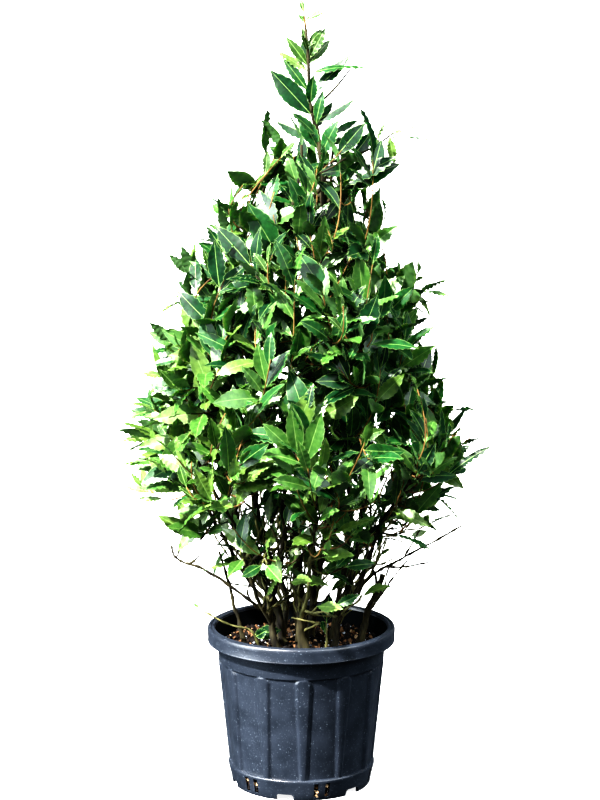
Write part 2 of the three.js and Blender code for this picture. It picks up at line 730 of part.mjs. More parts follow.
const masses = planMasses(carriers);
masses.forEach((mass) => planWalls(mass, masses));
masses.forEach(planMassStem);
shareOut(shootTips(), masses);
const limbSpace = limbs
  .map((limb) => limb.grown(LIMB_CLEARANCE))
  .reduce((all, limb) => all.add(limb));
masses.forEach((mass) => makeMass(mass, limbSpace));

export default plant;
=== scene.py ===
"""A bay laurel in a ribbed nursery pot, dressed on the frame of its solids.

Sizes are in millimetres, with +Z up, and every mesh is turned into metres as it is made.
Azimuth 0 is +X, and 270 degrees is -Y, the side that the plant is looked at from.
The limbs, masses and shoots follow the same rule as the solids. They are carried on here to
side twigs and to leaves of their natural size.
"""

import math

import bpy
import numpy as np
from mathutils import Euler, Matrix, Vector, noise
from mathutils.kdtree import KDTree


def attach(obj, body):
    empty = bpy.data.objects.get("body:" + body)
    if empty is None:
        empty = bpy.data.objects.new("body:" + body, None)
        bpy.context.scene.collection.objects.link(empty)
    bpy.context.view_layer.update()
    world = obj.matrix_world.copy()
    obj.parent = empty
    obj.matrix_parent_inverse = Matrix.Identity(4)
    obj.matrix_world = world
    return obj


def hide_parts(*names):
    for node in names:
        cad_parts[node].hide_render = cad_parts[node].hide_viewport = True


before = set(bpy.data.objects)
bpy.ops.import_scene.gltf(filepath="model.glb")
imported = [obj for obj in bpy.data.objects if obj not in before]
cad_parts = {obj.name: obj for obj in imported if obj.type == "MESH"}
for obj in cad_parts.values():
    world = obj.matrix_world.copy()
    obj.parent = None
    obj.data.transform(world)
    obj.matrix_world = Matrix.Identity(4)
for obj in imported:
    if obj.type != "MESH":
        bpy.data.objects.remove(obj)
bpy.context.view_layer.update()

MM = 0.001
FULL_TURN = 2 * math.pi
GOLDEN_ANGLE = math.pi * (3 - math.sqrt(5))
UP = np.array([0.0, 0.0, 1.0])
FRONT = np.array([0.0, -1.0, 0.0])
# How far along a curve its direction is taken over, to either side of a place.
DIRECTION_SPAN = 0.02
draw = np.random.default_rng(7)

# Pot: the same sizes as the solid.
POT_HEIGHT = 240
RIM_RADIUS = 140
RIM_WIDTH = 11
NECK_RADIUS = 126
NECK_HEIGHT = 217
FOOT_RADIUS = 104
WALL = 2.4
FOOT_RING_WALL = 4
FOOT_RING_STEP = 1.2
LEDGE_LIP = 1.2
FLOOR_UNDERSIDE = 11
FLOOR_TOP = FLOOR_UNDERSIDE + WALL
PANEL_COUNT = 12
PANEL_PHASE = math.radians(16.5)
PANEL_BOTTOM = 32
PANEL_TOP = 186
PANEL_SHOULDER_TOP = PANEL_TOP + 6
PANEL_DEPTH = 3
SLOT_GROUPS = 6
SLOT_WIDTH = 7
SLOT_BOTTOM = 5
SLOT_TOP = 27
SLOT_SPREAD = math.radians(4.6)
NOTCH_WIDTH = 26
NOTCH_HEIGHT = 9.5
CUTTER_LENGTH = 40

# What the moulding adds to it: panels that narrow towards their tops between rounded columns, and
# end in a head just above PANEL_TOP.
POT_SEGMENTS = 480
PANEL_HALF_WIDTHS = (math.radians(12.3), math.radians(9.4))
PANEL_EDGE = math.radians(1.1)
PANEL_SHOULDER = math.radians(2.6)
SHOULDER_DEPTH = 11
HEAD_EDGE = (PANEL_TOP + 1, PANEL_TOP + 4)
COLUMN_SWELL = 0.9
HUB_RADIUS = 8
NOTCH_CORNER = 3
POT_SHARP_ANGLE = math.radians(38)
# How many rows of the pot's faces are its inside, which takes a near-black finish that paints the shade in
# the pot.
INSIDE_ROWS = 6

# Compost: its mesh, and its lumps as the scale, seed and height of each size.
SOIL_SIDES = 180
SOIL_RINGS = 56
SOIL_RISE = 1.2
SOIL_LUMPS = ((0.028, 3.1, 3.2), (0.11, 7.7, 2.0), (0.4, 1.3, 1.1))
# The chips on it: the name, share, usual size and colour of each kind. CHIP_SIZES is how much
# smaller or larger than that one may be.
CHIPS = (
    ("wood_chip", 0.13, (8, 4.5, 2.4), (228, 192, 148)),
    ("bark_chip", 0.16, (11, 6, 3), (128, 96, 66)),
    ("dark_crumb", 0.57, (8, 6, 5), (22, 16, 12)),
    ("perlite", 0.14, (3.4, 3.2, 3), (205, 214, 222)),
)
CHIP_COUNT = 1500
CHIP_SIZES = (0.5, 1.25)
CHIP_CORNERS = (0.55, 1.1)
CHIP_SINK = 0.3
CHIP_INSET = 5
# Crumbs that fill the drain slots: some wood and bark, and dark ones that paint the shade inside the foot.
SLOT_CHIP = np.array([6.4, 6.4, 6])
SLOT_CHIP_SIZES = (0.85, 1.05)
SLOT_CHIP_LEVELS = (7.2, 10.4, 13.8, 17.4, 21.4)
SLOT_CHIP_DEPTHS = (0.8, 2)
SLOT_CHIP_SWAY = 0.008
SLOT_CHIP_KINDS = (0, 1, 2, 2)

# Limbs: the same sizes as the solids.
GROUND = 209
SEAT_GAP = 0.3
FRAME_HINT = np.array([0.36, 0.48, 0.8])
STEM_COUNT = 7
STEM_FIRST_AZIMUTH = math.radians(20)
STEM_FOOT_RADII = (52, 30)
STEM_FOOT_SPREAD = 7
STEM_FOOT_THICKNESS = (10, 14)
STEM_LEAN = 10
STEM_LOW_HEIGHT = 271
STEM_BOW_HEIGHT = 385
STEM_BOW_SPREAD = 8
STEM_TWIST = 0.25
STEM_WANDER = 0.2
STEM_TIP_RADIUS = 86
STEM_TIP_HEIGHT = 545
STEM_TIP_THICKNESS = 6.4
FLARE = 0.45
FLARE_SHARE = 0.06
LOW_BOUGH_SHARE = 0.22
LOW_BOUGH_SPREAD = 0.05
LOW_BOUGH_SAG = 16
LOW_BOUGH_THICKNESS = (6.6, 5)
LOW_BOUGH_TIP = (128, 392)
# Where the upper boughs leave the leader, and the radius and height of their tips.
UPPER_BOUGHS = {"upper": (0.46, 62, 722), "high": (0.62, 44, 872)}
UPPER_BOUGH_SPACING = 0.026
UPPER_BOUGH_SPREAD = 8
UPPER_BOUGH_SAG = 6
UPPER_BOUGH_THICKNESS = (6.4, 5)
LEADER_PLACES = (
    (2, 8, GROUND), (-8, 4, 400), (8, -2, 620), (32, -4, 850), (26, 0, 950), (16, 0, 1000),
)
LEADER_THICKNESS = (16, 6)
# The bare growth between the pot and the leaves: name, carrying stem and where on it, places,
# thickness, and forks as where they leave, where they end and their thickness.
BARE_GROWTH = (
    ("pruned_stub", None, ((86, -6, GROUND), (100, -6, 262), (121, -6, 318)), (10, 8),
     ((0.82, (104, -2, 330), (5, 3.4)),)),
    ("back_twig", None, ((88, 46, GROUND), (106, 48, 255), (160, 50, 326)), (3.6, 2),
     ((0.55, (134, 52, 318), (2.4, 1.6)),)),
    ("left_straight_twig", None, ((-84, -2, GROUND), (-103, -2, 282), (-122, -2, 352)), (6, 3), ()),
    ("left_low_shoot", None,
     ((-62, -14, GROUND), (-74, -20, 236), (-108, -26, 247), (-149, -28, 270)), (3.6, 2), ()),
    ("left_bare_twig", (3, 0.2), ((-132, -18, 322), (-180, -20, 343), (-192, -22, 366)), (4.8, 2.2),
     ((0.55, (-150, -24, 352), (2.6, 1.6)), (0.72, (-176, -10, 374), (2.4, 1.6)))),
    ("right_bare_twig", (6, 0.3), ((104, -28, 322), (160, -25, 352), (236, -22, 396)), (5, 2.2),
     ((0.45, (192, -34, 344), (2.8, 1.8)), (0.62, (176, -14, 390), (2.6, 1.6)))),
    ("sprout", None, ((36, -34, GROUND), (35, -38, 232), (37, -36, 252)), (3, 1.6), ()),
)
FORK_SAG = 3
# What the solids leave out of it: the sprout above and the tangle below.
SCENE_GROWTH = {"sprout", "tangle"}

# The crown's outline: how far its leaf tips reach to the left and to the right at each height.
CROWN_OUTLINE = np.array([
    (330, 120, 130), (370, 190, 205), (405, 205, 240), (460, 258, 245), (530, 272, 272),
    (560, 262, 240), (610, 232, 216), (690, 224, 190), (760, 190, 206), (800, 180, 160),
    (850, 148, 122), (900, 100, 108), (950, 62, 118), (1000, 52, 98), (1060, 50, 84),
    (1110, 36, 52), (1160, 10, 14),
])
CROWN_TOP = 1160
CROWN_REACH = 272
OUTLINE_SLACK = 3
# How much further or less far a leaf may reach: the least low down and at the top, and the most.
LEAF_SLACK_LEVELS = (600, 760)
LEAF_SLACK_LEAST = (-20, -50)
LEAF_SLACK_MOST = 24
# Below this the middle of the crown is bare, and its leaves hang only round its edge.
SKIRT_MIDDLE = 470
SKIRT_EDGE = 335
SKIRT_RADIUS = 190
# Above this the crown is open: only the leader and two laterals go on, with their leaves apart.
OPEN_TOP = 950

# The tiers of foliage: name, number of masses, first azimuth, and the radius and height of each.
TIERS = (
    ("lower", 7, 20, 178, 470),
    ("middle", 7, 45.7, 128, 635),
    ("upper", 4, 10, 100, 800),
    ("high", 3, 30, 58, 925),
    ("top", 1, 0, 10, 1080),
)
LOWER, MIDDLE, UPPER, HIGH, TOP = TIERS
# The tiers that each piece of twigs or leaves has.
PIECE_TIERS = {"lower": ("lower",), "middle": ("middle",), "upper": ("upper", "high", "top")}
CELL_MARGIN = 0.5
LIMB_CLEARANCE = 0.6
LIMB_SAMPLES = 40
MASS_STEM_SHARE = 0.62
MASS_STEM_INSET = 60
MASS_STEM_LEAD = 22
MASS_STEM_KNEE = 0.6
TOP_LEAF = 40
SHOOT_SPACING = 84
SHOOT_LOWEST = 382
SHOOT_HIGHEST = 1100
SHOOT_REACH = 0.82
SHOOT_REACH_SPREAD = 0.3
SHOOT_JITTER = 0.42
SHOOT_RISE = 52
SHOOT_STARTS = (0.12, 0.22, 0.34, 0.46, 0.58, 0.7, 0.82, 0.94)
SHOOT_SAG = 0.15
SHOOT_THICKNESS = 4.2
SHOOT_TIP_THICKNESS = 2.0
# How many places of a shoot's curve may touch the limb that it grows from.
SHOOT_ROOT_PLACES = 4
LATERAL_TIPS = ((132, -10, 972), (70, 6, 1062), (208, -14, 504), (-206, 12, 496))

# Bark: how far limbs stray from their even curves and how often to and fro, the relief's furrows
# and lumps, and the knots on the bare twigs.
CROOK = 5
CROOK_SCALE = 0.021
FINE_CROOK = 0.45
FINE_CROOK_SCALE = 3.1
CROOK_SEEDS = (0, 40)
BARK_RELIEF = 0.3
FURROW_SCALES = np.array([0.22, 0.22, 0.05])
LUMP_SCALES = np.array([0.05, 0.05, 0.06])
LUMP_SHARE = 0.8
KNOT_SPACING = 21
KNOT_SWELL = 0.9
KNOT_SHARPNESS = 5
LIMB_SIDES = 12
TWIG_SIDES = 6
LIMB_RING_SPACING = 6
BARE_RING_SPACING = 4
TWIG_RING_SPACING = 14
LIMB_RINGS_LEAST = 6
TWIG_RINGS_LEAST = 4
# Growth with green bark, and the share of the tangle that has it.
GREEN_GROWTH = ("left_low_shoot", "low_bough_3", "low_bough_6", "sprout")
GREEN_SHARE = 0.75

# The tangle of thin bare twigs between the stems: how many there are, where they start and end,
# and how they bend, fork and thin out from bud to bud.
TANGLE_COUNT = 108
TANGLE_SHARES = (0.04, 0.98)
TANGLE_ROOTS = (224, 410)
TANGLE_TOP = 500
TANGLE_LINKS = (3, 8)
TANGLE_LINK = (13, 24)
TANGLE_BEND = 0.3
TANGLE_RISE = 0.2
TANGLE_OUT = 0.55
TANGLE_FORWARDS = 0.6
TANGLE_DRIFT = np.array([0.45, 0.0, 0.1])
TANGLE_FORKS = 0.34
TANGLE_FORK_SPREAD = 0.75
TANGLE_FORK_THICKNESS = 0.7
TANGLE_THICKNESS = (2.4, 4)
TANGLE_TIP = 1.8
TANGLE_GAP = 10
TANGLE_LEAVES = 0.5
TANGLE_LEAF_LOWEST = 285
TANGLE_LEAF_LENGTHS = (34, 62)
TANGLE_LEAF_SPREAD = 0.3
TANGLE_LEAF_TINTS = (1, 4)

# Side twigs, which the solids leave out too.
SIDE_TWIG_SHARES = (0.34, 0.56, 0.78)
SIDE_TWIG_JITTER = 0.06
SIDE_TWIG_LENGTHS = (55, 115)
SIDE_TWIG_PITCHES = (32, 60)
SIDE_TWIG_THICKNESS = (2.4, 1.5)
SIDE_TWIG_RISE = 0.45
SIDE_TWIG_BEND = 0.5
SIDE_TWIG_REACHES = (0.5, 0.96)
SIDE_TWIG_CLEARANCE = 3
TOP_TWIG = np.array([-3.0, 0.0, 25.0])
TOP_TWIG_THICKNESS = (0.8 * SHOOT_THICKNESS, 0.8 * SHOOT_TIP_THICKNESS)

# How leaves are set on twigs. The one at a twig's tip is shorter and goes nearly straight on.
TWIG_TURN = 1.7
LEAF_SPACING = 12
LEAFY_LENGTH = 118
SIDE_LEAFY_LENGTH = 76
LEAFY_SHARE = 0.85
LEAF_LENGTHS = (48, 84)
LEAF_WIDTHS = (0.32, 0.42)
LEAF_PITCHES = (24, 62)
LEAF_PITCH_RANKS = (1, 6)
LEAF_PITCH_SPREAD = 9
LEAF_RISE = 0.12
LEAF_OUT = 0.25
LEAF_MIDDLE = 0.55
LEAF_ROOM = 9
LEAF_CLEARANCE = 2.5
END_LEAF_LENGTH = 0.72
END_LEAF_PITCH = 12
YOUNG_SHARE = 0.2
YOUNG_LEAVES = 5
YOUNG_LEAF_LENGTHS = (24, 50)
# A leaf that finds no room is tried again further round its twig, shorter and more upright.
LEAF_TRIES = 4
RETRY_TURN = 1.1
RETRY_CHANGE = 0.08

# Which way a leaf's upper side looks: up, towards its twig's tip and out of the crown, by these
# shares and by chance.
FACE_UP = 0.62
FACE_AHEAD = 0.55
FACE_OUT = 0.6
FACE_CHANCE = 0.24

# How likely a leaf is, by its share of the way out to the crown's outline and by its height. Low
# down, a place on the right counts as lower than one on the left.
INNER_SHARES = (0.2, 0.65)
INNER_CHANCES = (0.08, 1)
LOW_HEIGHTS = (360, 580)
LOW_CHANCES = (0.35, 1)
LOW_TILT = 0.3
HIGH_HEIGHTS = (720, 880)
HIGH_CHANCES = (1, 0.82)

# Tints run from 0, the deepest, to 3, the lightest, and young leaves have one of their own. A leaf is
# lighter to the left, which paints the sunlight that falls from that side, and lighter lower down, and
# varies by chance from twig to twig and leaf to leaf.
TINT_COUNT = 4
YOUNG_TINT = 4
LIGHTNESS = 0.58
PAINTED_SUN_ACROSS = 0.42
LIGHTNESS_HEIGHT = 560
LIGHTNESS_FALL = 0.75 / 600
LIGHTNESS_OF_TWIG = 0.75
LIGHTNESS_OF_LEAF = 0.22

# A leaf's mesh: its fold, droop, wave and twist, its petiole and outline, and its teeth.
LEAF_FOLDS = (0.02, 0.3)
LEAF_DROOPS = (0.08, 0.6)
LEAF_WAVES = (0.5, 1.3)
LEAF_TWIST = 0.25
LEAF_STATIONS = 16
PETIOLE_SHARE = 0.08
PETIOLE_HALF_WIDTH = 0.85
TIP_HALF_WIDTH = 0.15
BLADE_SKEW = 0.9
BLADE_FULLNESS = 0.8
BLADE_POINT = 0.35
BLADE_POINT_SHARPNESS = 8
TOOTH_DEPTH = 1.6
RIPPLE = 1.9
BILLOW = 1.2
BILLOW_COUNT = 3.3
MARGIN = 0.55
RIB_HALF_WIDTH = 0.7
RIB_TAPER = 0.7
LEAF_THICKNESS = 0.5
KEEL_DEPTH = 0.4
LEAF_SHARP_ANGLE = math.radians(70)
# Each station has seven vertices: rim, margin, rib, rib, margin, rim and keel. A strip of faces
# runs between two of them.
COLUMNS = 7
STRIPS = (
    (0, 1, "rib"), (1, 2, "blade"), (2, 3, "rib"), (3, 4, "blade"), (4, 5, "rib"), (5, 6, "underside"),
    (6, 0, "underside"),
)
# Each piece of leaves stays under 200,000 triangles.
LEAVES_A_PIECE = 800

# The leaves on the leader's open top, as the photo shows them: height, azimuth, rise above level,
# length, width as a share of that, tint, and how far its upper side is turned to the front.
TOP_LEAVES = (
    (1143, 150, 76, 20, 0.42, 4, 0.6), (1131, 335, 28, 34, 0.36, 4, 0.6),
    (1126, 120, 50, 26, 0.36, 4, 0.4), (1098, 200, 72, 24, 0.38, 4, 0.5),
    (1092, 20, 52, 36, 0.36, 4, 0.6), (1088, 250, 55, 30, 0.36, 4, 0.5),
    (1074, 352, 62, 54, 0.3, 4, 0.7), (1068, 20, 50, 52, 0.3, 4, 0.7),
    (1066, 190, 54, 54, 0.3, 4, 0.7), (1060, 172, 34, 54, 0.3, 3, 0.6),
    (1068, 100, 56, 50, 0.4, 0, 0.6), (1056, 352, 19, 84, 0.2, 1, 0.4),
    (1030, 190, 54, 62, 0.28, 1, 0.7), (1022, 8, 47, 88, 0.22, 0, 0.6),
    (1012, 280, 64, 46, 0.4, 1, 0.5), (993, 187, 48, 92, 0.35, 0, 0.9),
    (985, 345, 34, 68, 0.42, 0, 0.6), (981, 290, 66, 56, 0.3, 1, 0.5),
    (974, 80, 50, 66, 0.4, 1, 0.4), (966, 215, 42, 56, 0.38, 1, 0.5),
    (958, 165, 30, 74, 0.38, 0, 0.6), (950, 350, 32, 84, 0.36, 0, 0.5),
    (944, 200, 60, 62, 0.4, 1, 0.8), (936, 300, 55, 66, 0.38, 1, 0.5),
)
# Leaves that stand out in the photo: about where each is rooted, its azimuth, rise and length, its
# width as a share of that, its tint, and how far its upper side is turned to the front.
FRONT_LEAVES = (
    ((-22, -60, 799), 190, 60, 94, 0.42, 1, 0.8), ((4, -110, 693), 190, 49, 86, 0.36, 1, 0.8),
    ((37, -80, 770), 195, 52, 60, 0.46, 2, 0.7), ((-8, -60, 802), 345, 40, 72, 0.36, 3, 0.4),
    ((33, -50, 878), 195, 60, 58, 0.4, 2, 0.8), ((-102, -20, 744), 178, 31, 94, 0.22, 1, 0.6),
    ((-93, -20, 734), 182, 4, 92, 0.22, 1, 0.3), ((-142, -60, 648), 190, 36, 80, 0.34, 2, 0.6),
    ((98, -120, 602), 335, 47, 60, 0.4, 3, 0.6), ((14, -150, 593), 335, 34, 66, 0.48, 3, 0.6),
    ((138, -60, 631), 345, 38, 66, 0.42, 2, 0.6), ((164, 0, 755), 355, 2, 54, 0.2, 2, 0.3),
    ((166, 0, 734), 350, -50, 44, 0.3, 3, 0.5), ((83, -90, 747), 340, 32, 60, 0.36, 3, 0.5),
    ((54, -30, 898), 350, 34, 92, 0.3, 0, 0.5), ((-5, -190, 522), 340, 72, 80, 0.36, 2, 0.9),
    ((116, -10, 970), 355, 11, 68, 0.15, 0, 0.3), ((119, -10, 975), 5, 30, 40, 0.18, 2, 0.4),
    ((106, -10, 988), 320, -76, 42, 0.38, 3, 0.9), ((93, -10, 958), 10, 65, 48, 0.12, 4, 0.3),
    ((73, 0, 983), 170, 86, 30, 0.2, 3, 0.5), ((77, 0, 980), 20, 42, 20, 0.6, 4, 0.6),
    ((-13, -10, 932), 195, 36, 44, 0.42, 1, 0.6), ((-16, -10, 947), 185, 6, 48, 0.18, 0, 0.4),
    ((-26, -20, 889), 190, 72, 54, 0.42, 2, 0.9), ((49, -20, 896), 345, 30, 95, 0.34, 0, 0.6),
    ((34, -10, 911), 340, 58, 58, 0.4, 1, 0.6), ((-131, -50, 418), 195, -44, 78, 0.34, 3, 0.5),
    ((-102, -50, 410), 330, -58, 80, 0.4, 0, 0.8), ((-33, -90, 419), 200, -76, 46, 0.4, 3, 0.8),
    ((41, -60, 391), 340, 42, 60, 0.4, 0, 0.8), ((80, -60, 380), 345, 48, 56, 0.36, 0, 0.8),
    ((0, -70, 362), 345, 14, 58, 0.36, 3, 0.5), ((-84, -50, 341), 190, 2, 74, 0.14, 3, 0.2),
    ((-62, -50, 332), 340, 0, 38, 0.4, 1, 0.4), ((48, -60, 383), 345, -18, 50, 0.22, 1, 0.5),
    ((193, -40, 398), 350, 52, 70, 0.36, 2, 0.7), ((-141, -50, 439), 190, 4, 60, 0.34, 2, 0.5),
    ((-162, -50, 484), 195, -36, 56, 0.4, 3, 0.7), ((205, -40, 484), 350, 44, 84, 0.2, 0, 0.4),
    ((-195, -40, 520), 185, 6, 70, 0.34, 3, 0.5), ((-192, -40, 505), 185, 10, 70, 0.38, 1, 0.4),
    ((-190, -30, 545), 190, 25, 72, 0.36, 1, 0.5), ((-192, -30, 475), 182, -8, 66, 0.36, 2, 0.4),
    ((-185, -60, 500), 200, -20, 70, 0.38, 1, 0.5), ((-190, 20, 470), 175, 5, 76, 0.36, 2, 0.5),
    ((-195, 0, 560), 180, 30, 70, 0.36, 1, 0.6),
)
FRONT_LEAF_REACH = 55
FRONT_LEAF_CHANCE = 0.05
# The furthest leaf tips of the crown's outline, as how far left or right and how high each is.
OUTLINE_TIPS = (
    (-147, 845), (-118, 818), (-194, 794), (-181, 758), (-186, 738), (-224, 684), (-222, 640),
    (-226, 610), (-234, 580), (-262, 550), (-268, 526), (-265, 490), (-257, 462), (-202, 430),
    (123, 816), (212, 758), (194, 728), (188, 704), (190, 640), (214, 610), (212, 580),
    (270, 528), (234, 490), (222, 460), (235, 430), (240, 402), (206, 372), (-222, 700),
    (-226, 662), (-236, 622), (-248, 592), (-258, 566), (-270, 538), (-262, 508), (-258, 476),
    (-240, 446), (-214, 716), (-160, 802), (-170, 776),
)
OUTLINE_LEAF_LENGTHS = (48, 92)
OUTLINE_LEAF_WIDTHS = (0.28, 0.36)
# How much width, depth and height count in the distance to a tip, and a tip's depth as a share
# of its root's.
OUTLINE_WEIGHTS = (1, 0.5, 1)
OUTLINE_DEPTH = 0.9
# The few leaves on the bare growth: its name, where on it, and the same again. The two low on
# left_low_shoot take the deepest tint, which paints the shade that they lie in.
LOW_LEAVES = (
    ("left_low_shoot", 0.2, 300, 25, 30, 0.56, 0, 0.95),
    ("left_low_shoot", 0.24, 345, 12, 40, 0.56, 0, 0.95),
    ("left_low_shoot", 1.0, 150, 35, 20, 0.3, 4, 0.4), ("sprout", 1.0, 300, 80, 46, 0.46, 0, 0.9),
    ("sprout", 0.6, 100, 40, 30, 0.4, 1, 0.5),
)

# Finishes of leaves: name, darkest and lightest colour as a screen shows them, roughness and
# specular level. The tints come first.
LEAF_FINISHES = (
    ("leaf_deep", (2, 42, 16), (11, 66, 28), 0.42, 0.6),
    ("leaf_green", (12, 66, 22), (31, 93, 36), 0.43, 0.7),
    ("leaf_fresh", (50, 99, 30), (78, 125, 47), 0.45, 1.0),
    ("leaf_light", (75, 111, 36), (103, 137, 53), 0.47, 1.0),
    ("leaf_young", (38, 76, 12), (58, 100, 24), 0.52, 0.6),
    ("leaf_rib", (116, 158, 76), (146, 184, 102), 0.5, 1.0),
    ("leaf_underside", (50, 92, 38), (72, 116, 54), 0.6, 1.0),
    ("leaf_young_underside", (44, 84, 18), (66, 106, 32), 0.6, 0.6),
)
RIB_FINISH = 5
UNDERSIDE_FINISH = 6
YOUNG_UNDERSIDE_FINISH = 7
# How much light goes through a leaf, and how far: the share, its colours and metres.
LEAF_GLOW = 0.12
LEAF_GLOW_RADIUS = (0.5, 1, 0.2)
LEAF_GLOW_DEPTH = 0.0015
# Finishes of bark: name, darkest and lightest colour, and roughness.
# The plain bark is darkened to paint the shade that the crown casts on the stems and bare twigs.
BARK_WITH_PAINTED_SHADE = ("bark", (20, 18, 12), (74, 70, 44), 0.8)
GREEN_BARK = ("green_bark", (68, 72, 38), (150, 148, 96), 0.7)
TWIG_BARK = ("twig_bark", (92, 66, 36), (148, 118, 64), 0.6)

# Camera, in metres and degrees, with the lens in millimetres.
CAMERA_PLACE = (-0.0019, -3.66, 1.24)
CAMERA_PITCH = 10.22
CAMERA_LENS = 113.96
CAMERA_SENSOR = 36
# Lights from far away: name, the azimuth and elevation that each comes from, energy, colour, how
# wide it is in degrees, and whether it leaves a sheen.
LIGHTS = (
    ("sun", 220, 46, 13, (1, 0.95, 0.93), 2.5, True),
    ("side", 198, 20, 4.4, (0.88, 0.95, 1), 40, True),
    ("fill", 322, 50, 2.4, (0.9, 0.96, 1), 50, True),
    ("back", 50, 14, 4, (1, 0.98, 0.94), 50, False),
)
SKY_COLOUR = (0.72, 0.86, 1, 1)
SKY_STRENGTH = 0.05
# Studio, in metres.
STUDIO_RADIUS = 14
STUDIO_HEIGHT = 12
STUDIO_SIDES = 48
FLOOR_GLOW = 0.62
WALL_GLOW = 1


# Numbers and directions.
def chance(first, second):
    """A number from 0 to 1 that is always the same for the same two counts."""
    wave = math.sin(first * 12.9898 + second * 78.233) * 43758.5453
    return wave - math.floor(wave)


def sway(first, second):
    """The same, from -1 to 1."""
    return 2 * chance(first, second) - 1


def polar(azimuth, radius, height):
    return np.array([radius * math.cos(azimuth), radius * math.sin(azimuth), height], float)


def unit(vector):
    return vector / np.linalg.norm(vector)


def square_to(vector, axis):
    """The part of a direction that is square to an axis, as a unit vector."""
    return unit(vector - axis * (vector @ axis))


def outward(place):
    """The level direction away from the plant's middle, or up where a place is right above it."""
    return unit(np.array([place[0], place[1], 1e-6]))


def aside(across, third, turn):
    """The direction that lies some way round a twig, from two that are square to it."""
    return across * math.cos(turn) + third * math.sin(turn)


def smooth_step(value, low, high):
    share = np.clip((value - low) / (high - low), 0, 1)
    return share * share * (3 - 2 * share)


def ring_azimuth(tier, index):
    _, count, first, _, _ = tier
    return math.radians(first) + index * FULL_TURN / count


def crown_radius(height, azimuth):
    """How far the crown reaches at a height and azimuth."""
    levels, lefts, rights = CROWN_OUTLINE.T
    left = np.interp(height, levels, lefts)
    right = np.interp(height, levels, rights)
    return (left + right) / 2 + (right - left) / 2 * math.cos(azimuth)


def crown_reach(place):
    """How far the crown reaches at a place's height and azimuth."""
    return crown_radius(place[2], math.atan2(place[1], place[0]))


def within_crown(place, slack=0.0):
    """Whether a place is in the crown, or no further outside it than the slack."""
    x, y, z = place
    radius = math.hypot(x, y)
    skirt = np.interp(radius, (0, SKIRT_RADIUS), (SKIRT_MIDDLE, SKIRT_EDGE))
    if not skirt <= z <= CROWN_TOP or max(abs(x), abs(y)) > CROWN_REACH + OUTLINE_SLACK:
        return False
    return radius <= crown_reach(place) + slack


# Curves and meshes.
class Curve:
    """A smooth curve, kept as places at even shares of its length of travel."""

    def __init__(self, places):
        self.places = places
        self.shares = np.linspace(0, 1, len(places))
        self.length = np.linalg.norm(np.diff(places, axis=0), axis=1).sum()

    def at(self, share):
        return np.array([np.interp(share, self.shares, axis) for axis in self.places.T])

    def direction(self, share):
        return unit(self.at(min(1, share + DIRECTION_SPAN)) - self.at(max(0, share - DIRECTION_SPAN)))

    def frame(self, share):
        """The place and direction there, with two directions square to it, which turn evenly."""
        chord = self.places[-1] - self.places[0]
        tangent = self.direction(share)
        across = square_to(unit(np.cross(chord, FRAME_HINT)), tangent)
        return self.at(share), tangent, across, np.cross(across, tangent)


def wander(places, steps=16):
    """A curve through these places, which leaves each in the direction between its neighbours."""
    knots = np.array(places, float)
    knots = np.vstack([2 * knots[0] - knots[1], knots, 2 * knots[-1] - knots[-2]])
    spans = [knots[1:2]]
    share = np.linspace(0, 1, steps + 1)[1:, None]
    for before, start, end, after in zip(knots, knots[1:], knots[2:], knots[3:]):
        leave, arrive = (end - before) / 2, (after - start) / 2
        square = 3 * (end - start) - 2 * leave - arrive
        cube = 2 * (start - end) + leave + arrive
        spans.append(start + leave * share + square * share**2 + cube * share**3)
    return Curve(np.vstack(spans))


def bent(start, bend, tip, steps=16):
    share = np.linspace(0, 1, steps + 1)[:, None]
    return Curve(start * (1 - share) ** 2 + bend * 2 * share * (1 - share) + tip * share**2)


def sagging(start, tip, sag):
    return wander([start, (start + tip) / 2 - UP * sag, tip])


def taper(foot, tip, flare=0.0):
    """A limb's radius along it, from its thickness at its foot and its tip, with any root flare."""
    def radius(share):
        return (foot + (tip - foot) * share + foot * flare * np.exp(-share / FLARE_SHARE)) / 2
    return radius


def shell_faces(rows, sides):
    """The faces of a closed shell that joins rings of vertices."""
    faces = [
        (row * sides + k, row * sides + (k + 1) % sides,
         (row + 1) * sides + (k + 1) % sides, (row + 1) * sides + k)
        for row in range(rows - 1) for k in range(sides)
    ]
    last = (rows - 1) * sides
    return [*faces, tuple(reversed(range(sides))), tuple(range(last, last + sides))]


def new_object(name, data):
    """An object in the scene, from its mesh, light or camera."""
    new = bpy.data.objects.new(name, data)
    bpy.context.scene.collection.objects.link(new)
    return new


def new_mesh(name, vertices, faces, materials):
    """A mesh, from places in metres."""
    mesh = bpy.data.meshes.new(name)
    mesh.from_pydata(vertices, [], faces)
    for material in materials:
        mesh.materials.append(material)
    return mesh


def make_piece(name, vertices, faces, materials, finishes=0, smooth=True):
    """A mesh object that rides on the plant, from places in millimetres."""
    mesh = new_mesh(name, vertices * MM, faces, materials)
    count = len(mesh.polygons)
    mesh.polygons.foreach_set("material_index", np.array(np.broadcast_to(finishes, count), np.int32))
    mesh.polygons.foreach_set("use_smooth", np.full(count, smooth))
    mesh.update()
    piece = new_object(name, mesh)
    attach(piece, "root")
    return piece


class Bodies:
    """Closed bodies of one kind, gathered to be joined into one piece."""

    def __init__(self):
        self.vertices, self.faces, self.finishes = [], [], []
        self.count = 0

    def add(self, vertices, faces, finishes=0):
        """Adds a body, with one finish for all its faces or one for each."""
        self.vertices.append(vertices)
        self.faces.extend([tuple(corner + self.count for corner in face) for face in faces])
        self.finishes.extend(np.broadcast_to(finishes, len(faces)))
        self.count += len(vertices)

    def piece(self, name, materials, smooth=True):
        return make_piece(name, np.vstack(self.vertices), self.faces, materials, self.finishes, smooth)


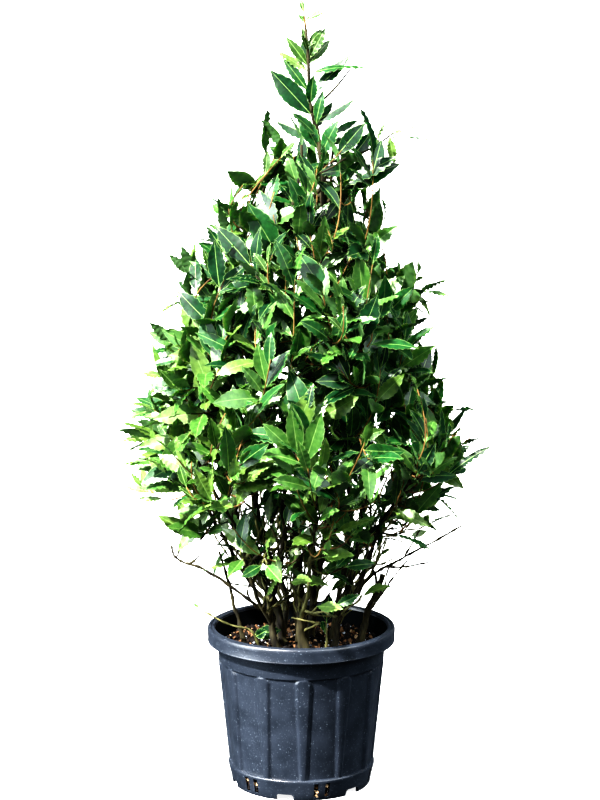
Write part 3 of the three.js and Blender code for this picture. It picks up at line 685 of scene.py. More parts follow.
def tube(curve, radius_at, sides, rings, rough=False, foot_level=None):
    """The vertices and faces of a tapered closed tube along a curve, with bark relief if rough."""
    turns = np.arange(sides) * FULL_TURN / sides
    cosines, sines = np.cos(turns)[:, None], np.sin(turns)[:, None]
    rows = []
    for share in np.linspace(0, 1, rings + 1):
        place, _, across, third = curve.frame(share)
        if rough and 0 < share < 1:
            place = place + crook(place) * 4 * share * (1 - share)
        ring = place + radius_at(share) * (cosines * across + sines * third)
        if rough:
            ring += relief_of(ring) * (ring - place)
        if share == 0 and foot_level is not None:
            ring[:, 2] = foot_level
        rows.append(ring)
    faces = [
        (row * sides + k, (row + 1) * sides + k,
         (row + 1) * sides + (k + 1) % sides, row * sides + (k + 1) % sides)
        for row in range(rings) for k in range(sides)
    ]
    last = rings * sides
    return np.vstack(rows), [*faces, tuple(range(sides)), tuple(reversed(range(last, last + sides)))]


def crook(place):
    """How far a limb strays from its even curve there."""
    wide, fine = place * CROOK_SCALE, place * CROOK_SCALE * FINE_CROOK_SCALE
    strays = [noise.noise(wide + seed) + FINE_CROOK * noise.noise(fine + seed) for seed in CROOK_SEEDS]
    return np.array([*strays, 0]) * CROOK


def relief_of(ring):
    """How far bark stands out at each place, as a share: long furrows and the odd lump."""
    furrows = np.array([noise.noise(place * FURROW_SCALES) for place in ring])
    lumps = np.array([noise.noise(place * LUMP_SCALES) for place in ring])
    return BARK_RELIEF * (furrows + LUMP_SHARE * lumps)[:, None]


def knotty(limb):
    """A limb's radius along it, with a knot at each bud."""
    knots = max(1, round(limb.curve.length / KNOT_SPACING))

    def radius(share):
        swell = (0.5 - 0.5 * math.cos(FULL_TURN * knots * share)) ** KNOT_SHARPNESS
        return limb.radius_at(share) + KNOT_SWELL * swell
    return radius


def search_tree(places):
    """A tree that finds the nearest of these places."""
    tree = KDTree(len(places))
    for index, place in enumerate(places):
        tree.insert(place, index)
    tree.balance()
    return tree


# Pot.
def outer_radius(height):
    return FOOT_RADIUS + (NECK_RADIUS - FOOT_RADIUS) * height / NECK_HEIGHT


def inner_radius(height):
    collar = smooth_step(height, PANEL_SHOULDER_TOP, NECK_HEIGHT)
    return outer_radius(height) - WALL - PANEL_DEPTH * (1 - collar)


def panel_relief(from_front, height):
    """How far the wall stands out at places round it: sunk panels between rounded columns."""
    turn = FULL_TURN / PANEL_COUNT
    offset = np.abs((from_front - PANEL_PHASE + turn / 2) % turn - turn / 2)
    half = np.interp(height, (PANEL_BOTTOM, PANEL_TOP), PANEL_HALF_WIDTHS)
    half += PANEL_SHOULDER * smooth_step(height, PANEL_SHOULDER_TOP - SHOULDER_DEPTH, PANEL_SHOULDER_TOP)
    column = smooth_step(offset, half - PANEL_EDGE, half + PANEL_EDGE)
    crest = 1 - np.clip((turn / 2 - offset) / (turn / 2 - half), 0, 1) ** 2
    below_collar = 1 - smooth_step(height, *HEAD_EDGE)
    return below_collar * (COLUMN_SWELL * column * crest - PANEL_DEPTH * (1 - column))


def pot_profile():
    """The pot's cross-section, from the middle of its underside to the middle of its floor."""
    ring_inside = FOOT_RADIUS - FOOT_RING_WALL
    ledge = outer_radius(PANEL_BOTTOM) + FOOT_RING_STEP + LEDGE_LIP
    foot = [
        (HUB_RADIUS, FLOOR_UNDERSIDE), (ring_inside, FLOOR_UNDERSIDE), (ring_inside, 0.8),
        (ring_inside + 0.8, 0), (FOOT_RADIUS - 1.2, 0), (FOOT_RADIUS - 0.2, 1.2),
        (FOOT_RADIUS + 1.6, 12), (ledge - 0.6, 26), (ledge, PANEL_BOTTOM - 2.6),
        (ledge - 0.1, PANEL_BOTTOM - 1.4), (ledge - 0.6, PANEL_BOTTOM - 0.5), (ledge - 1.6, PANEL_BOTTOM),
    ]
    even_levels = np.linspace(PANEL_BOTTOM + 0.4, PANEL_TOP - 10, 30)
    head_levels = np.linspace(PANEL_TOP - 8, PANEL_TOP + 8, 33)
    levels = [*even_levels, *head_levels, 200, 208, NECK_HEIGHT - 0.4]
    wall = [(outer_radius(level), level) for level in levels]
    rim = [
        (NECK_RADIUS + 0.4, NECK_HEIGHT), (RIM_RADIUS - 2.4, NECK_HEIGHT),
        (RIM_RADIUS - 0.6, NECK_HEIGHT + 0.7), (RIM_RADIUS - 0.2, NECK_HEIGHT + 2),
        (RIM_RADIUS - 0.8, NECK_HEIGHT + 3.4), (RIM_RADIUS, POT_HEIGHT - 7),
        (RIM_RADIUS - 0.3, POT_HEIGHT - 3.2), (RIM_RADIUS - 1.4, POT_HEIGHT - 1.1),
        (RIM_RADIUS - 3.2, POT_HEIGHT), (RIM_RADIUS - 5, POT_HEIGHT - 0.2),
        (RIM_RADIUS - 6.2, POT_HEIGHT - 2), (RIM_RADIUS - 7.6, POT_HEIGHT - 0.6),
        (RIM_RADIUS - 9.4, POT_HEIGHT - 0.1), (RIM_RADIUS - RIM_WIDTH, POT_HEIGHT - 1.4),
        (RIM_RADIUS - RIM_WIDTH - 0.6, POT_HEIGHT - 5),
    ]
    inside = [(inner_radius(level), level) for level in (NECK_HEIGHT, PANEL_SHOULDER_TOP, 100, FLOOR_TOP)]
    profile = [*foot, *wall, *rim, *inside, (HUB_RADIUS, FLOOR_TOP)]
    return profile, [len(foot) <= row < len(foot) + len(wall) for row in range(len(profile))]


def lathe(profile, walls, segments):
    """A closed body of revolution, with the panels' relief where the profile is the wall."""
    from_front = np.arange(segments) * FULL_TURN / segments
    rows = []
    for (radius, height), is_wall in zip(profile, walls):
        reach = radius + panel_relief(from_front, height) if is_wall else radius
        levels = np.full(segments, height)
        rows.append(np.column_stack([reach * np.sin(from_front), -reach * np.cos(from_front), levels]))
    return np.vstack(rows), shell_faces(len(rows), segments)


def wall_cutter(from_front, outline):
    """A prism through the wall at an azimuth from the front, from its outline across and up."""
    ahead = np.array([math.sin(from_front), -math.cos(from_front), 0])
    across = np.array([math.cos(from_front), math.sin(from_front), 0])
    ends = (FOOT_RADIUS - CUTTER_LENGTH / 2, FOOT_RADIUS + CUTTER_LENGTH / 2)
    rows = [[ahead * end + across * side + UP * height for side, height in outline] for end in ends]
    return np.vstack(rows), shell_faces(2, len(outline))


def pot_cutters():
    """The drain slots in pairs, and a notch in the foot between each pair and the next."""
    half = SLOT_WIDTH / 2
    slot = [(-half, SLOT_BOTTOM), (half, SLOT_BOTTOM), (half, SLOT_TOP), (-half, SLOT_TOP)]
    half = NOTCH_WIDTH / 2
    shoulder, top = half - NOTCH_CORNER, NOTCH_HEIGHT - NOTCH_CORNER
    notch = [
        (-half, -NOTCH_HEIGHT), (half, -NOTCH_HEIGHT), (half, top), (shoulder, NOTCH_HEIGHT),
        (-shoulder, NOTCH_HEIGHT), (-half, top),
    ]
    cutters = Bodies()
    for group in range(SLOT_GROUPS):
        middle = PANEL_PHASE + group * FULL_TURN / SLOT_GROUPS
        cutters.add(*wall_cutter(middle - SLOT_SPREAD, slot))
        cutters.add(*wall_cutter(middle + SLOT_SPREAD, slot))
        cutters.add(*wall_cutter(middle + math.pi / SLOT_GROUPS, notch))
    return cutters


def cut(piece, cutters):
    """Takes the cutters out of a piece, and leaves neither them nor a modifier behind."""
    knife = cutters.piece("cutters", [])
    modifier = piece.modifiers.new("openings", "BOOLEAN")
    modifier.operation, modifier.solver, modifier.object = "DIFFERENCE", "EXACT", knife
    whole = bpy.context.evaluated_depsgraph_get()
    mesh = bpy.data.meshes.new_from_object(piece.evaluated_get(whole))
    piece.modifiers.clear()
    piece.data = mesh
    bpy.data.objects.remove(knife)


def make_pot():
    profile, walls = pot_profile()
    vertices, faces = lathe(profile, walls, POT_SEGMENTS)
    inside = (len(profile) - INSIDE_ROWS) * POT_SEGMENTS
    finishes = [int(face >= inside) for face in range(len(faces))]
    # The second finish paints the shade inside the pot.
    materials = [plastic_material(), painted_shade_inside_material()]
    piece = make_piece("nursery_pot", vertices, faces, materials, finishes)
    cut(piece, pot_cutters())
    piece.data.set_sharp_from_angle(angle=POT_SHARP_ANGLE)
    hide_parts("pot")


# Compost.
def soil_level(x, y):
    """The compost's height at a place, with its lumps."""
    lumps = [noise.noise((x * scale, y * scale, seed)) * height for scale, seed, height in SOIL_LUMPS]
    return GROUND + SOIL_RISE + sum(lumps)


def make_compost():
    """The compost, lumpy on top and filling the pot down to its floor."""
    turns = np.arange(SOIL_SIDES) * FULL_TURN / SOIL_SIDES
    below = (
        (HUB_RADIUS, FLOOR_TOP + SEAT_GAP), (inner_radius(FLOOR_TOP) - SEAT_GAP, FLOOR_TOP + SEAT_GAP),
        (inner_radius(PANEL_SHOULDER_TOP) - SEAT_GAP, PANEL_SHOULDER_TOP),
    )
    rows = [[polar(turn, reach, level) for turn in turns] for reach, level in below]
    for reach in np.linspace(inner_radius(GROUND) - SEAT_GAP, HUB_RADIUS / 2, SOIL_RINGS):
        ring = [polar(turn, reach, 0) for turn in turns]
        rows.append([np.array([x, y, soil_level(x, y)]) for x, y, _ in ring])
    faces = shell_faces(len(rows), SOIL_SIDES)
    piece = make_piece("compost_bed", np.vstack(rows), faces, [soil_material()])
    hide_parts("compost")


def chip(place, size):
    """A crumb of bark or grit: a small box with its corners pushed about, turned at random."""
    corners = np.array([[x, y, z] for x in (-1, 1) for y in (-1, 1) for z in (-1, 1)], float)
    corners *= size / 2 * draw.uniform(*CHIP_CORNERS, (8, 3))
    turned = corners @ np.array(Euler(draw.uniform(0, FULL_TURN, 3)).to_matrix())
    faces = [(0, 1, 3, 2), (4, 6, 7, 5), (0, 4, 5, 1), (2, 3, 7, 6), (0, 2, 6, 4), (1, 5, 7, 3)]
    return place + turned, faces


def scatter_chips(bodies):
    """Bark, wood and grit all over the compost."""
    farthest = inner_radius(GROUND) - CHIP_INSET
    shares = [share for _, share, _, _ in CHIPS]
    for _ in range(CHIP_COUNT):
        reach = farthest * math.sqrt(draw.random())
        x, y, _ = polar(draw.uniform(0, FULL_TURN), reach, 0)
        kind = draw.choice(len(CHIPS), p=shares)
        size = np.array(CHIPS[kind][2]) * draw.uniform(*CHIP_SIZES)
        bodies.add(*chip(np.array([x, y, soil_level(x, y) + size[2] * CHIP_SINK]), size), kind)


def fill_slots_with_painted_shade(bodies):
    """Crumbs in the drain slots: compost that shows there, whose dark crumbs also paint the shade inside
    the foot.
    """
    for slot in range(2 * SLOT_GROUPS):
        group, side = divmod(slot, 2)
        from_front = PANEL_PHASE + group * FULL_TURN / SLOT_GROUPS + (2 * side - 1) * SLOT_SPREAD
        for height in SLOT_CHIP_LEVELS:
            azimuth = from_front - math.pi / 2 + draw.uniform(-SLOT_CHIP_SWAY, SLOT_CHIP_SWAY)
            place = polar(azimuth, inner_radius(height) + draw.uniform(*SLOT_CHIP_DEPTHS), height)
            vertices, faces = chip(place, SLOT_CHIP * draw.uniform(*SLOT_CHIP_SIZES))
            bodies.add(vertices, faces, draw.choice(SLOT_CHIP_KINDS))


def make_chips():
    bodies = Bodies()
    scatter_chips(bodies)
    fill_slots_with_painted_shade(bodies)
    piece = bodies.piece("compost_chips", chip_materials(), smooth=False)


# Limbs.
class Limb:
    """A stem, bough or bare twig: its curve, its radius along it and whether the pot carries it."""

    def __init__(self, name, curve, radius_at, stands=False):
        self.name, self.curve, self.radius_at, self.stands = name, curve, radius_at, stands
        self.green = name in GREEN_GROWTH or (name == "tangle" and draw.random() < GREEN_SHARE)


def seated(places):
    """These places, with the first lifted just off the compost's solid."""
    places = [np.array(place, float) for place in places]
    places[0][2] += SEAT_GAP
    return places


def make_leader():
    return Limb("leader", wander(seated(LEADER_PLACES)), taper(*LEADER_THICKNESS, FLARE), stands=True)


def make_stem(index):
    azimuth = STEM_FIRST_AZIMUTH + index * FULL_TURN / STEM_COUNT
    foot_radius = STEM_FOOT_RADII[index % 2] + STEM_FOOT_SPREAD * sway(index, 1)
    low_azimuth = azimuth + STEM_WANDER * sway(index, 5)
    bow_azimuth = azimuth + STEM_TWIST + STEM_WANDER * sway(index, 2)
    bow_radius = STEM_TIP_RADIUS - STEM_BOW_SPREAD * sway(index, 6)
    curve = wander([
        polar(azimuth, foot_radius, GROUND + SEAT_GAP),
        polar(low_azimuth, foot_radius + STEM_LEAN, STEM_LOW_HEIGHT),
        polar(bow_azimuth, bow_radius, STEM_BOW_HEIGHT),
        polar(ring_azimuth(MIDDLE, index), STEM_TIP_RADIUS, STEM_TIP_HEIGHT),
    ])
    radius_at = taper(STEM_FOOT_THICKNESS[index % 2], STEM_TIP_THICKNESS, FLARE)
    return Limb(f"stem_{index + 1}", curve, radius_at, stands=True)


def make_low_bough(stem, index):
    start = stem.curve.at(LOW_BOUGH_SHARE + LOW_BOUGH_SPREAD * sway(index, 3))
    tip = polar(ring_azimuth(LOWER, index), *LOW_BOUGH_TIP)
    return Limb(f"low_bough_{index + 1}", sagging(start, tip, LOW_BOUGH_SAG), taper(*LOW_BOUGH_THICKNESS))


def make_upper_boughs(leader, tier):
    name, count = tier[:2]
    share, radius, height = UPPER_BOUGHS[name]
    boughs = []
    for index in range(count):
        start = leader.curve.at(share + UPPER_BOUGH_SPACING * index)
        tip = polar(ring_azimuth(tier, index), radius, height + UPPER_BOUGH_SPREAD * sway(index, 4))
        curve = sagging(start, tip, UPPER_BOUGH_SAG)
        boughs.append(Limb(f"{name}_bough_{index + 1}", curve, taper(*UPPER_BOUGH_THICKNESS)))
    return boughs


def make_bare_twig(name, carrier, places, thickness, forks, stems):
    """A bare twig and its forks, each as a limb."""
    if carrier:
        stem, share = carrier
        curve = wander([stems[stem].curve.at(share), *places])
    else:
        curve = wander(seated(places))
    twigs = [Limb(name, curve, taper(*thickness, 0 if carrier else FLARE), stands=not carrier)]
    for share, tip, fork_thickness in forks:
        fork = sagging(curve.at(share), np.array(tip, float), FORK_SAG)
        twigs.append(Limb(name, fork, taper(*fork_thickness)))
    return twigs


def tangle_twig(root, direction, links, thickness):
    """A bare twig that bends a little at each bud, with the forks that it has there."""
    places, directions = [root], [direction]
    for _ in range(links):
        directions.append(unit(directions[-1] + draw.normal(0, TANGLE_BEND, 3) + UP * TANGLE_RISE))
        places.append(places[-1] + directions[-1] * draw.uniform(*TANGLE_LINK))
    twigs = [Limb("tangle", wander(places, steps=3), taper(thickness, TANGLE_TIP))]
    for bud in range(1, links):
        if draw.random() < TANGLE_FORKS:
            way = unit(directions[bud] + draw.normal(0, TANGLE_FORK_SPREAD, 3))
            fork_thickness = max(TANGLE_TIP, thickness * TANGLE_FORK_THICKNESS)
            twigs += tangle_twig(places[bud], way, links // 2, fork_thickness)
    return twigs


def in_tangle(place):
    """Whether a bare twig may reach a place: above the compost, and in the pot and the crown."""
    in_pot = place[2] < POT_HEIGHT + TANGLE_GAP
    reach = (inner_radius(GROUND) if in_pot else crown_reach(place)) - TANGLE_GAP
    return math.hypot(place[0], place[1]) < reach and GROUND + TANGLE_GAP < place[2] < TANGLE_TOP


def make_tangle(carriers):
    """Thin leafless twigs between the stems, each rooted low on a stem or bough."""
    lowest, highest = TANGLE_ROOTS
    tangle, grown = [], 0
    while grown < TANGLE_COUNT:
        carrier = carriers[draw.integers(len(carriers))]
        root, tangent, across, third = carrier.curve.frame(draw.uniform(*TANGLE_SHARES))
        spread = aside(across, third, draw.uniform(0, FULL_TURN))
        direction = unit(tangent * TANGLE_FORWARDS + spread + outward(root) * TANGLE_OUT + TANGLE_DRIFT)
        links = int(draw.integers(*TANGLE_LINKS))
        twigs = tangle_twig(root, direction, links, draw.uniform(*TANGLE_THICKNESS))
        places = [place for twig in twigs for place in twig.curve.places[1:]]
        if lowest < root[2] < highest and all(in_tangle(place) for place in places):
            tangle += twigs
            grown += 1
    return tangle


def join_limbs(name, limbs, materials, ring_spacing, knots=False):
    """One piece of many limbs, with relief in their bark, and knots if asked."""
    bodies = Bodies()
    for limb in limbs:
        radius_at = knotty(limb) if knots else limb.radius_at
        sides = TWIG_SIDES if limb.name == "tangle" else LIMB_SIDES
        rings = max(LIMB_RINGS_LEAST, int(limb.curve.length / ring_spacing))
        level = GROUND + SEAT_GAP if limb.stands else None
        bodies.add(*tube(limb.curve, radius_at, sides, rings, True, level), int(limb.green))
    piece = bodies.piece(name, materials)
    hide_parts(*sorted({limb.name for limb in limbs} - SCENE_GROWTH))


# Foliage masses.
class Mass:
    """One mass of foliage: its centre, the limb that carries it, its space and its shoots."""

    def __init__(self, tier, index, carrier):
        self.tier = tier[0]
        self.centre = polar(ring_azimuth(tier, index), tier[3], tier[4])
        self.carrier = carrier
        self.tips = []

    def plan_stem(self):
        """The stem that goes on from the carrier and through the centre, inside the crown."""
        curve = self.carrier.curve
        direction = curve.direction(1)
        root = curve.at(1) + direction * SEAT_GAP
        end = root + (self.centre - root) * (1 + MASS_STEM_SHARE)
        reach = crown_reach(end)
        farthest = max(reach - MASS_STEM_INSET, reach / 2)
        end[:2] *= min(1, farthest / math.hypot(end[0], end[1]))
        end[2] = min(end[2], CROWN_TOP - TOP_LEAF)
        knee = root + (end - root) * MASS_STEM_KNEE
        self.stem = wander([root, root + direction * MASS_STEM_LEAD, knee, end])
        self.stem_radius = taper(2 * self.carrier.radius_at(1), SHOOT_THICKNESS)

    def plan_walls(self, masses):
        """The planes half-way to each other mass, which bound its own space."""
        others = [mass.centre for mass in masses if mass is not self]
        self.normals = np.array([unit(self.centre - other) for other in others])
        middles = np.array([(self.centre + other) / 2 for other in others])
        self.offsets = (self.normals * middles).sum(axis=1)

    def holds(self, places):
        """Whether these places are all in the mass's own space."""
        return bool(((places @ self.normals.T) - self.offsets >= CELL_MARGIN).all())

    def shoot_curve(self, tip):
        """A shoot's curve to its tip, from the place on the stem that suits it best."""
        aim = tip - UP * SHOOT_RISE
        starts = [self.stem.at(share) for share in SHOOT_STARTS]
        start = min(starts, key=lambda place: np.linalg.norm(place - aim))
        sag = SHOOT_SAG * np.linalg.norm(tip - start)
        return bent(start, (start + tip) / 2 - UP * sag, tip)


def shoot_tips():
    """Where the shoots end: the laterals' tips, then rings of others up the crown."""
    tips = [np.array(place, float) for place in LATERAL_TIPS]
    for ring in range(math.ceil((SHOOT_HIGHEST - SHOOT_LOWEST) / SHOOT_SPACING)):
        level = SHOOT_LOWEST + ring * SHOOT_SPACING
        girth = FULL_TURN * SHOOT_REACH * crown_radius(level, math.pi / 2)
        count = max(2, math.floor(girth / SHOOT_SPACING + 0.5))
        for k in range(count):
            turn = (k + SHOOT_JITTER * sway(ring, k)) / count
            azimuth = ring * GOLDEN_ANGLE + turn * FULL_TURN
            height = level + SHOOT_JITTER * SHOOT_SPACING * sway(ring + 40, k)
            reach = SHOOT_REACH - SHOOT_REACH_SPREAD * chance(ring + 80, k) ** 3
            tips.append(polar(azimuth, reach * crown_radius(height, azimuth), height))
    return tips


def plan_masses(carriers):
    """All the masses, with each shoot's tip given to the mass that it is nearest to."""
    masses = [Mass(tier, index, carriers[tier[0]][index]) for tier in TIERS for index in range(tier[1])]
    for mass in masses:
        mass.plan_walls(masses)
        mass.plan_stem()
    for seed, tip in enumerate(shoot_tips()):
        nearest = min(masses, key=lambda mass: np.linalg.norm(mass.centre - tip))
        nearest.tips.append((tip, seed))
    return masses


class LimbSpace:
    """Tells whether places come too near the limbs."""

    def __init__(self, limbs):
        samples = [(limb, share) for limb in limbs for share in np.linspace(0, 1, LIMB_SAMPLES)]
        self.radii = [limb.radius_at(share) for limb, share in samples]
        self.tree = search_tree([limb.curve.at(share) for limb, share in samples])

    def meets(self, places, clearance):
        finds = [self.tree.find(place) for place in places]
        return any(distance < self.radii[index] + clearance for _, index, distance in finds)


class Room:
    """Keeps the leaves apart: a grid of the places that are taken."""

    def __init__(self, spacing):
        self.spacing, self.cells = spacing, {}

    def cell(self, place):
        return tuple(np.floor(place / self.spacing).astype(int))

    def is_free(self, place):
        x, y, z = self.cell(place)
        near = [(x + i, y + j, z + k) for i in (-1, 0, 1) for j in (-1, 0, 1) for k in (-1, 0, 1)]
        taken = [other for key in near for other in self.cells.get(key, ())]
        return all(np.linalg.norm(place - other) >= self.spacing for other in taken)

    def take(self, place):
        """Takes a place if it is free."""
        if self.is_free(place):
            self.cells.setdefault(self.cell(place), []).append(place)


# Leaves.
class Leaf:
    """A leaf's root, frame, size and shape."""

    def __init__(self, root, direction, face, length, width, tint):
        self.root, self.direction, self.face = root, direction, face
        self.length, self.width, self.tint = length, width, tint
        self.fold = draw.uniform(*LEAF_FOLDS)
        self.droop = draw.uniform(*LEAF_DROOPS)
        self.wave = draw.uniform(*LEAF_WAVES)
        self.phase = draw.uniform(0, FULL_TURN)
        self.twist = draw.normal(0, LEAF_TWIST)

    def along(self, share):
        """Places on its midrib, which arches down towards the tip."""
        turn = self.droop * np.atleast_1d(share)
        ahead = np.sin(turn) / self.droop * self.length
        below = (1 - np.cos(turn)) / self.droop * self.length
        return self.root + np.outer(ahead, self.direction) - np.outer(below, self.face)

    def middle(self):
        return self.along(LEAF_MIDDLE)[0]

    def tip(self):
        return self.along(1)[0]


def pictured_leaf(root, azimuth, rise, length, width, tint, frontal):
    """A leaf from the tables of those that the photo shows."""
    azimuth, rise = math.radians(azimuth), math.radians(rise)
    direction = polar(azimuth, math.cos(rise), math.sin(rise))
    face = UP * (1 - frontal) + FRONT * frontal + draw.normal(0, FRONT_LEAF_CHANCE, 3)
    return Leaf(root, direction, square_to(face, direction), length, length * width, tint)


def is_leafy(place):
    """Whether a leaf grows there: fewer do deep inside the crown, low down and high up."""
    share = math.hypot(place[0], place[1]) / crown_reach(place)
    likely = np.interp(share, INNER_SHARES, INNER_CHANCES)
    likely *= np.interp(place[2] - LOW_TILT * place[0], LOW_HEIGHTS, LOW_CHANCES)
    likely *= np.interp(place[2], HIGH_HEIGHTS, HIGH_CHANCES)
    return draw.random() < likely


def leaf_face(place, direction, tangent):
    """The way a leaf's upper side looks."""
    light = UP * FACE_UP + tangent * FACE_AHEAD + outward(place) * FACE_OUT
    return square_to(light + draw.normal(0, FACE_CHANCE, 3), direction)


def tint_with_painted_sun(place, seed):
    """A leaf's tint, from its place and its twig's seed, lighter to the left as painted sunlight."""
    # Lighter to the left: painted sunlight from the side that the sun comes from.
    lightness = LIGHTNESS - PAINTED_SUN_ACROSS * place[0] / CROWN_REACH
    lightness -= LIGHTNESS_FALL * (place[2] - LIGHTNESS_HEIGHT)
    lightness += LIGHTNESS_OF_TWIG * (chance(seed, 57) - 0.5)
    lightness += draw.uniform(-LIGHTNESS_OF_LEAF, LIGHTNESS_OF_LEAF)
    return int(min(TINT_COUNT - 1, max(0, TINT_COUNT * lightness)))


class Foliage:
    """Grows twigs and leaves on the masses, and keeps them by tier."""

    def __init__(self, limbs, leader):
        self.limb_space, self.leader = LimbSpace(limbs), leader
        self.room = Room(LEAF_ROOM)
        self.leaves, self.twigs, self.leafy = {}, {}, {}

    def add_twig(self, tier, curve, radius_at, young):
        self.twigs.setdefault(tier, []).append((curve, radius_at, young))

    def add_leaf(self, tier, leaf):
        """Adds a leaf and takes its room."""
        self.room.take(leaf.middle())
        self.leaves.setdefault(tier, []).append(leaf)

    def twig_places(self):
        """Each place of each twig's curve, with its tier."""
        return [
            (place, tier)
            for tier, twigs in self.twigs.items() for curve, _, _ in twigs for place in curve.places
        ]

    def fit_leaf(self, tier, curve, share, turn, pitch, length, tint, slack):
        """Adds a leaf where it stays in the crown and has room."""
        place, tangent, across, third = curve.frame(share)
        pitch = math.radians(pitch)
        for attempt in range(LEAF_TRIES):
            size = length * (1 - RETRY_CHANGE * attempt)
            rise = UP * (LEAF_RISE + RETRY_CHANGE * attempt) + outward(place) * LEAF_OUT
            spread = aside(across, third, turn + RETRY_TURN * attempt)
            direction = unit(tangent * math.cos(pitch) + spread * math.sin(pitch) + rise)
            face = leaf_face(place, direction, tangent)
            leaf = Leaf(place, direction, face, size, size * draw.uniform(*LEAF_WIDTHS), tint)
            middle, tip = leaf.middle(), leaf.tip()
            if not is_leafy(middle):
                return
            fits = within_crown(tip, slack) and within_crown(middle, slack)
            fits = fits and not self.limb_space.meets((middle, tip), LEAF_CLEARANCE)
            if fits and self.room.is_free(middle):
                self.add_leaf(tier, leaf)
                return

    def leaf_twig(self, tier, curve, seed, leafy_length):
        """Sets leaves round a twig from its tip downwards."""
        young = chance(seed, 31) < YOUNG_SHARE
        count = int(min(leafy_length, LEAFY_SHARE * curve.length) / LEAF_SPACING) + 1
        for k in range(count):
            share = 1 - k * LEAF_SPACING / curve.length
            is_young = young and k < YOUNG_LEAVES
            length = draw.uniform(*(YOUNG_LEAF_LENGTHS if is_young else LEAF_LENGTHS))
            pitch = END_LEAF_PITCH
            if k == 0:
                length *= END_LEAF_LENGTH
            else:
                pitch = np.interp(k, LEAF_PITCH_RANKS, LEAF_PITCHES)
                pitch += draw.uniform(-LEAF_PITCH_SPREAD, LEAF_PITCH_SPREAD)
            tint = YOUNG_TINT if is_young else tint_with_painted_sun(curve.at(share), seed)
            turn = seed * TWIG_TURN + k * GOLDEN_ANGLE
            least = np.interp(curve.at(share)[2], LEAF_SLACK_LEVELS, LEAF_SLACK_LEAST)
            slack = draw.uniform(least, LEAF_SLACK_MOST)
            self.fit_leaf(tier, curve, share, turn, pitch, length, tint, slack)

    def side_twig(self, tier, curve, share, seed):
        """A thin twig aside from a shoot, where it stays in the crown and clear of the limbs."""
        place, tangent, across, third = curve.frame(share)
        pitch = math.radians(draw.uniform(*SIDE_TWIG_PITCHES))
        spread = aside(across, third, seed * GOLDEN_ANGLE)
        way = (tangent * math.cos(pitch) + spread * math.sin(pitch)) * draw.uniform(*SIDE_TWIG_LENGTHS)
        tip = place + way + UP * np.linalg.norm(way) * SIDE_TWIG_RISE
        reach = draw.uniform(*SIDE_TWIG_REACHES) * crown_reach(tip)
        tip[:2] *= min(1, reach / math.hypot(tip[0], tip[1]))
        if not within_crown(tip) or tip[2] > OPEN_TOP:
            return
        twig = bent(place, place + way * SIDE_TWIG_BEND, tip)
        if not self.limb_space.meets([twig.at(0.5), tip], SIDE_TWIG_CLEARANCE):
            self.add_twig(tier, twig, taper(*SIDE_TWIG_THICKNESS), True)
            self.leafy.setdefault(tier, []).append((twig, seed, SIDE_LEAFY_LENGTH))

    def grow_twigs(self, mass):
        """A mass's stem and shoots, with their side twigs."""
        tier = mass.tier
        self.add_twig(tier, mass.stem, mass.stem_radius, False)
        axes = [(mass.stem, len(mass.tips))]
        for tip, seed in mass.tips:
            if tip[2] > OPEN_TOP and seed >= len(LATERAL_TIPS):
                continue
            curve = mass.shoot_curve(tip)
            clear = not self.limb_space.meets(curve.places[SHOOT_ROOT_PLACES:], LIMB_CLEARANCE)
            if clear and mass.holds(curve.places):
                self.add_twig(tier, curve, taper(SHOOT_THICKNESS, SHOOT_TIP_THICKNESS), False)
                axes.append((curve, seed))
        if tier == "top":
            self.grow_top(mass.stem)
            return
        for curve, seed in axes:
            self.leafy.setdefault(tier, []).append((curve, seed, LEAFY_LENGTH))
            for k, share in enumerate(SIDE_TWIG_SHARES):
                self.side_twig(tier, curve, share + SIDE_TWIG_JITTER * sway(seed, k), seed * 7 + k)

    def grow_leaves(self):
        for tier, twigs in self.leafy.items():
            for curve, seed, leafy_length in twigs:
                self.leaf_twig(tier, curve, seed, leafy_length)

    def grow_top(self, stem):
        """The leader's last stretch, with each leaf where the photo shows it."""
        end = stem.at(1)
        tip = wander([end, end + TOP_TWIG / 2, end + TOP_TWIG])
        self.add_twig("top", tip, taper(*TOP_TWIG_THICKNESS), True)
        places = np.vstack([self.leader.curve.places, stem.places, tip.places])
        for height, *leaf in TOP_LEAVES:
            root = places[np.abs(places[:, 2] - height).argmin()]
            self.add_leaf("top", pictured_leaf(root, *leaf))

    def grow_front(self, tangle):
        """Roots each leaf that stands out in the photo on the twig that is nearest to it."""
        places = self.twig_places()
        places += [(place, "lower") for twig in tangle for place in twig.curve.places]
        tree = search_tree([place for place, _ in places])
        for wanted, *leaf in FRONT_LEAVES:
            _, index, distance = tree.find(wanted)
            if distance < FRONT_LEAF_REACH:
                root, tier = places[index]
                self.add_leaf(tier, pictured_leaf(root, *leaf))

    def grow_outline(self):
        """Roots a leaf for each tip of the outline on the twig that it can best grow from."""
        places = self.twig_places()
        shortest, longest = OUTLINE_LEAF_LENGTHS
        for x, z in OUTLINE_TIPS:
            spans = [np.linalg.norm(([x, 0, z] - place) * OUTLINE_WEIGHTS) for place, _ in places]
            root, tier = places[np.argmin([span if span > shortest else math.inf for span in spans])]
            way = [x, int(root[1] * OUTLINE_DEPTH), z] - root
            length = np.linalg.norm(way)
            if length < longest:
                direction = way / length
                face = leaf_face(root, direction, direction)
                width = length * draw.uniform(*OUTLINE_LEAF_WIDTHS)
                self.add_leaf(tier, Leaf(root, direction, face, length, width, tint_with_painted_sun(root, length)))

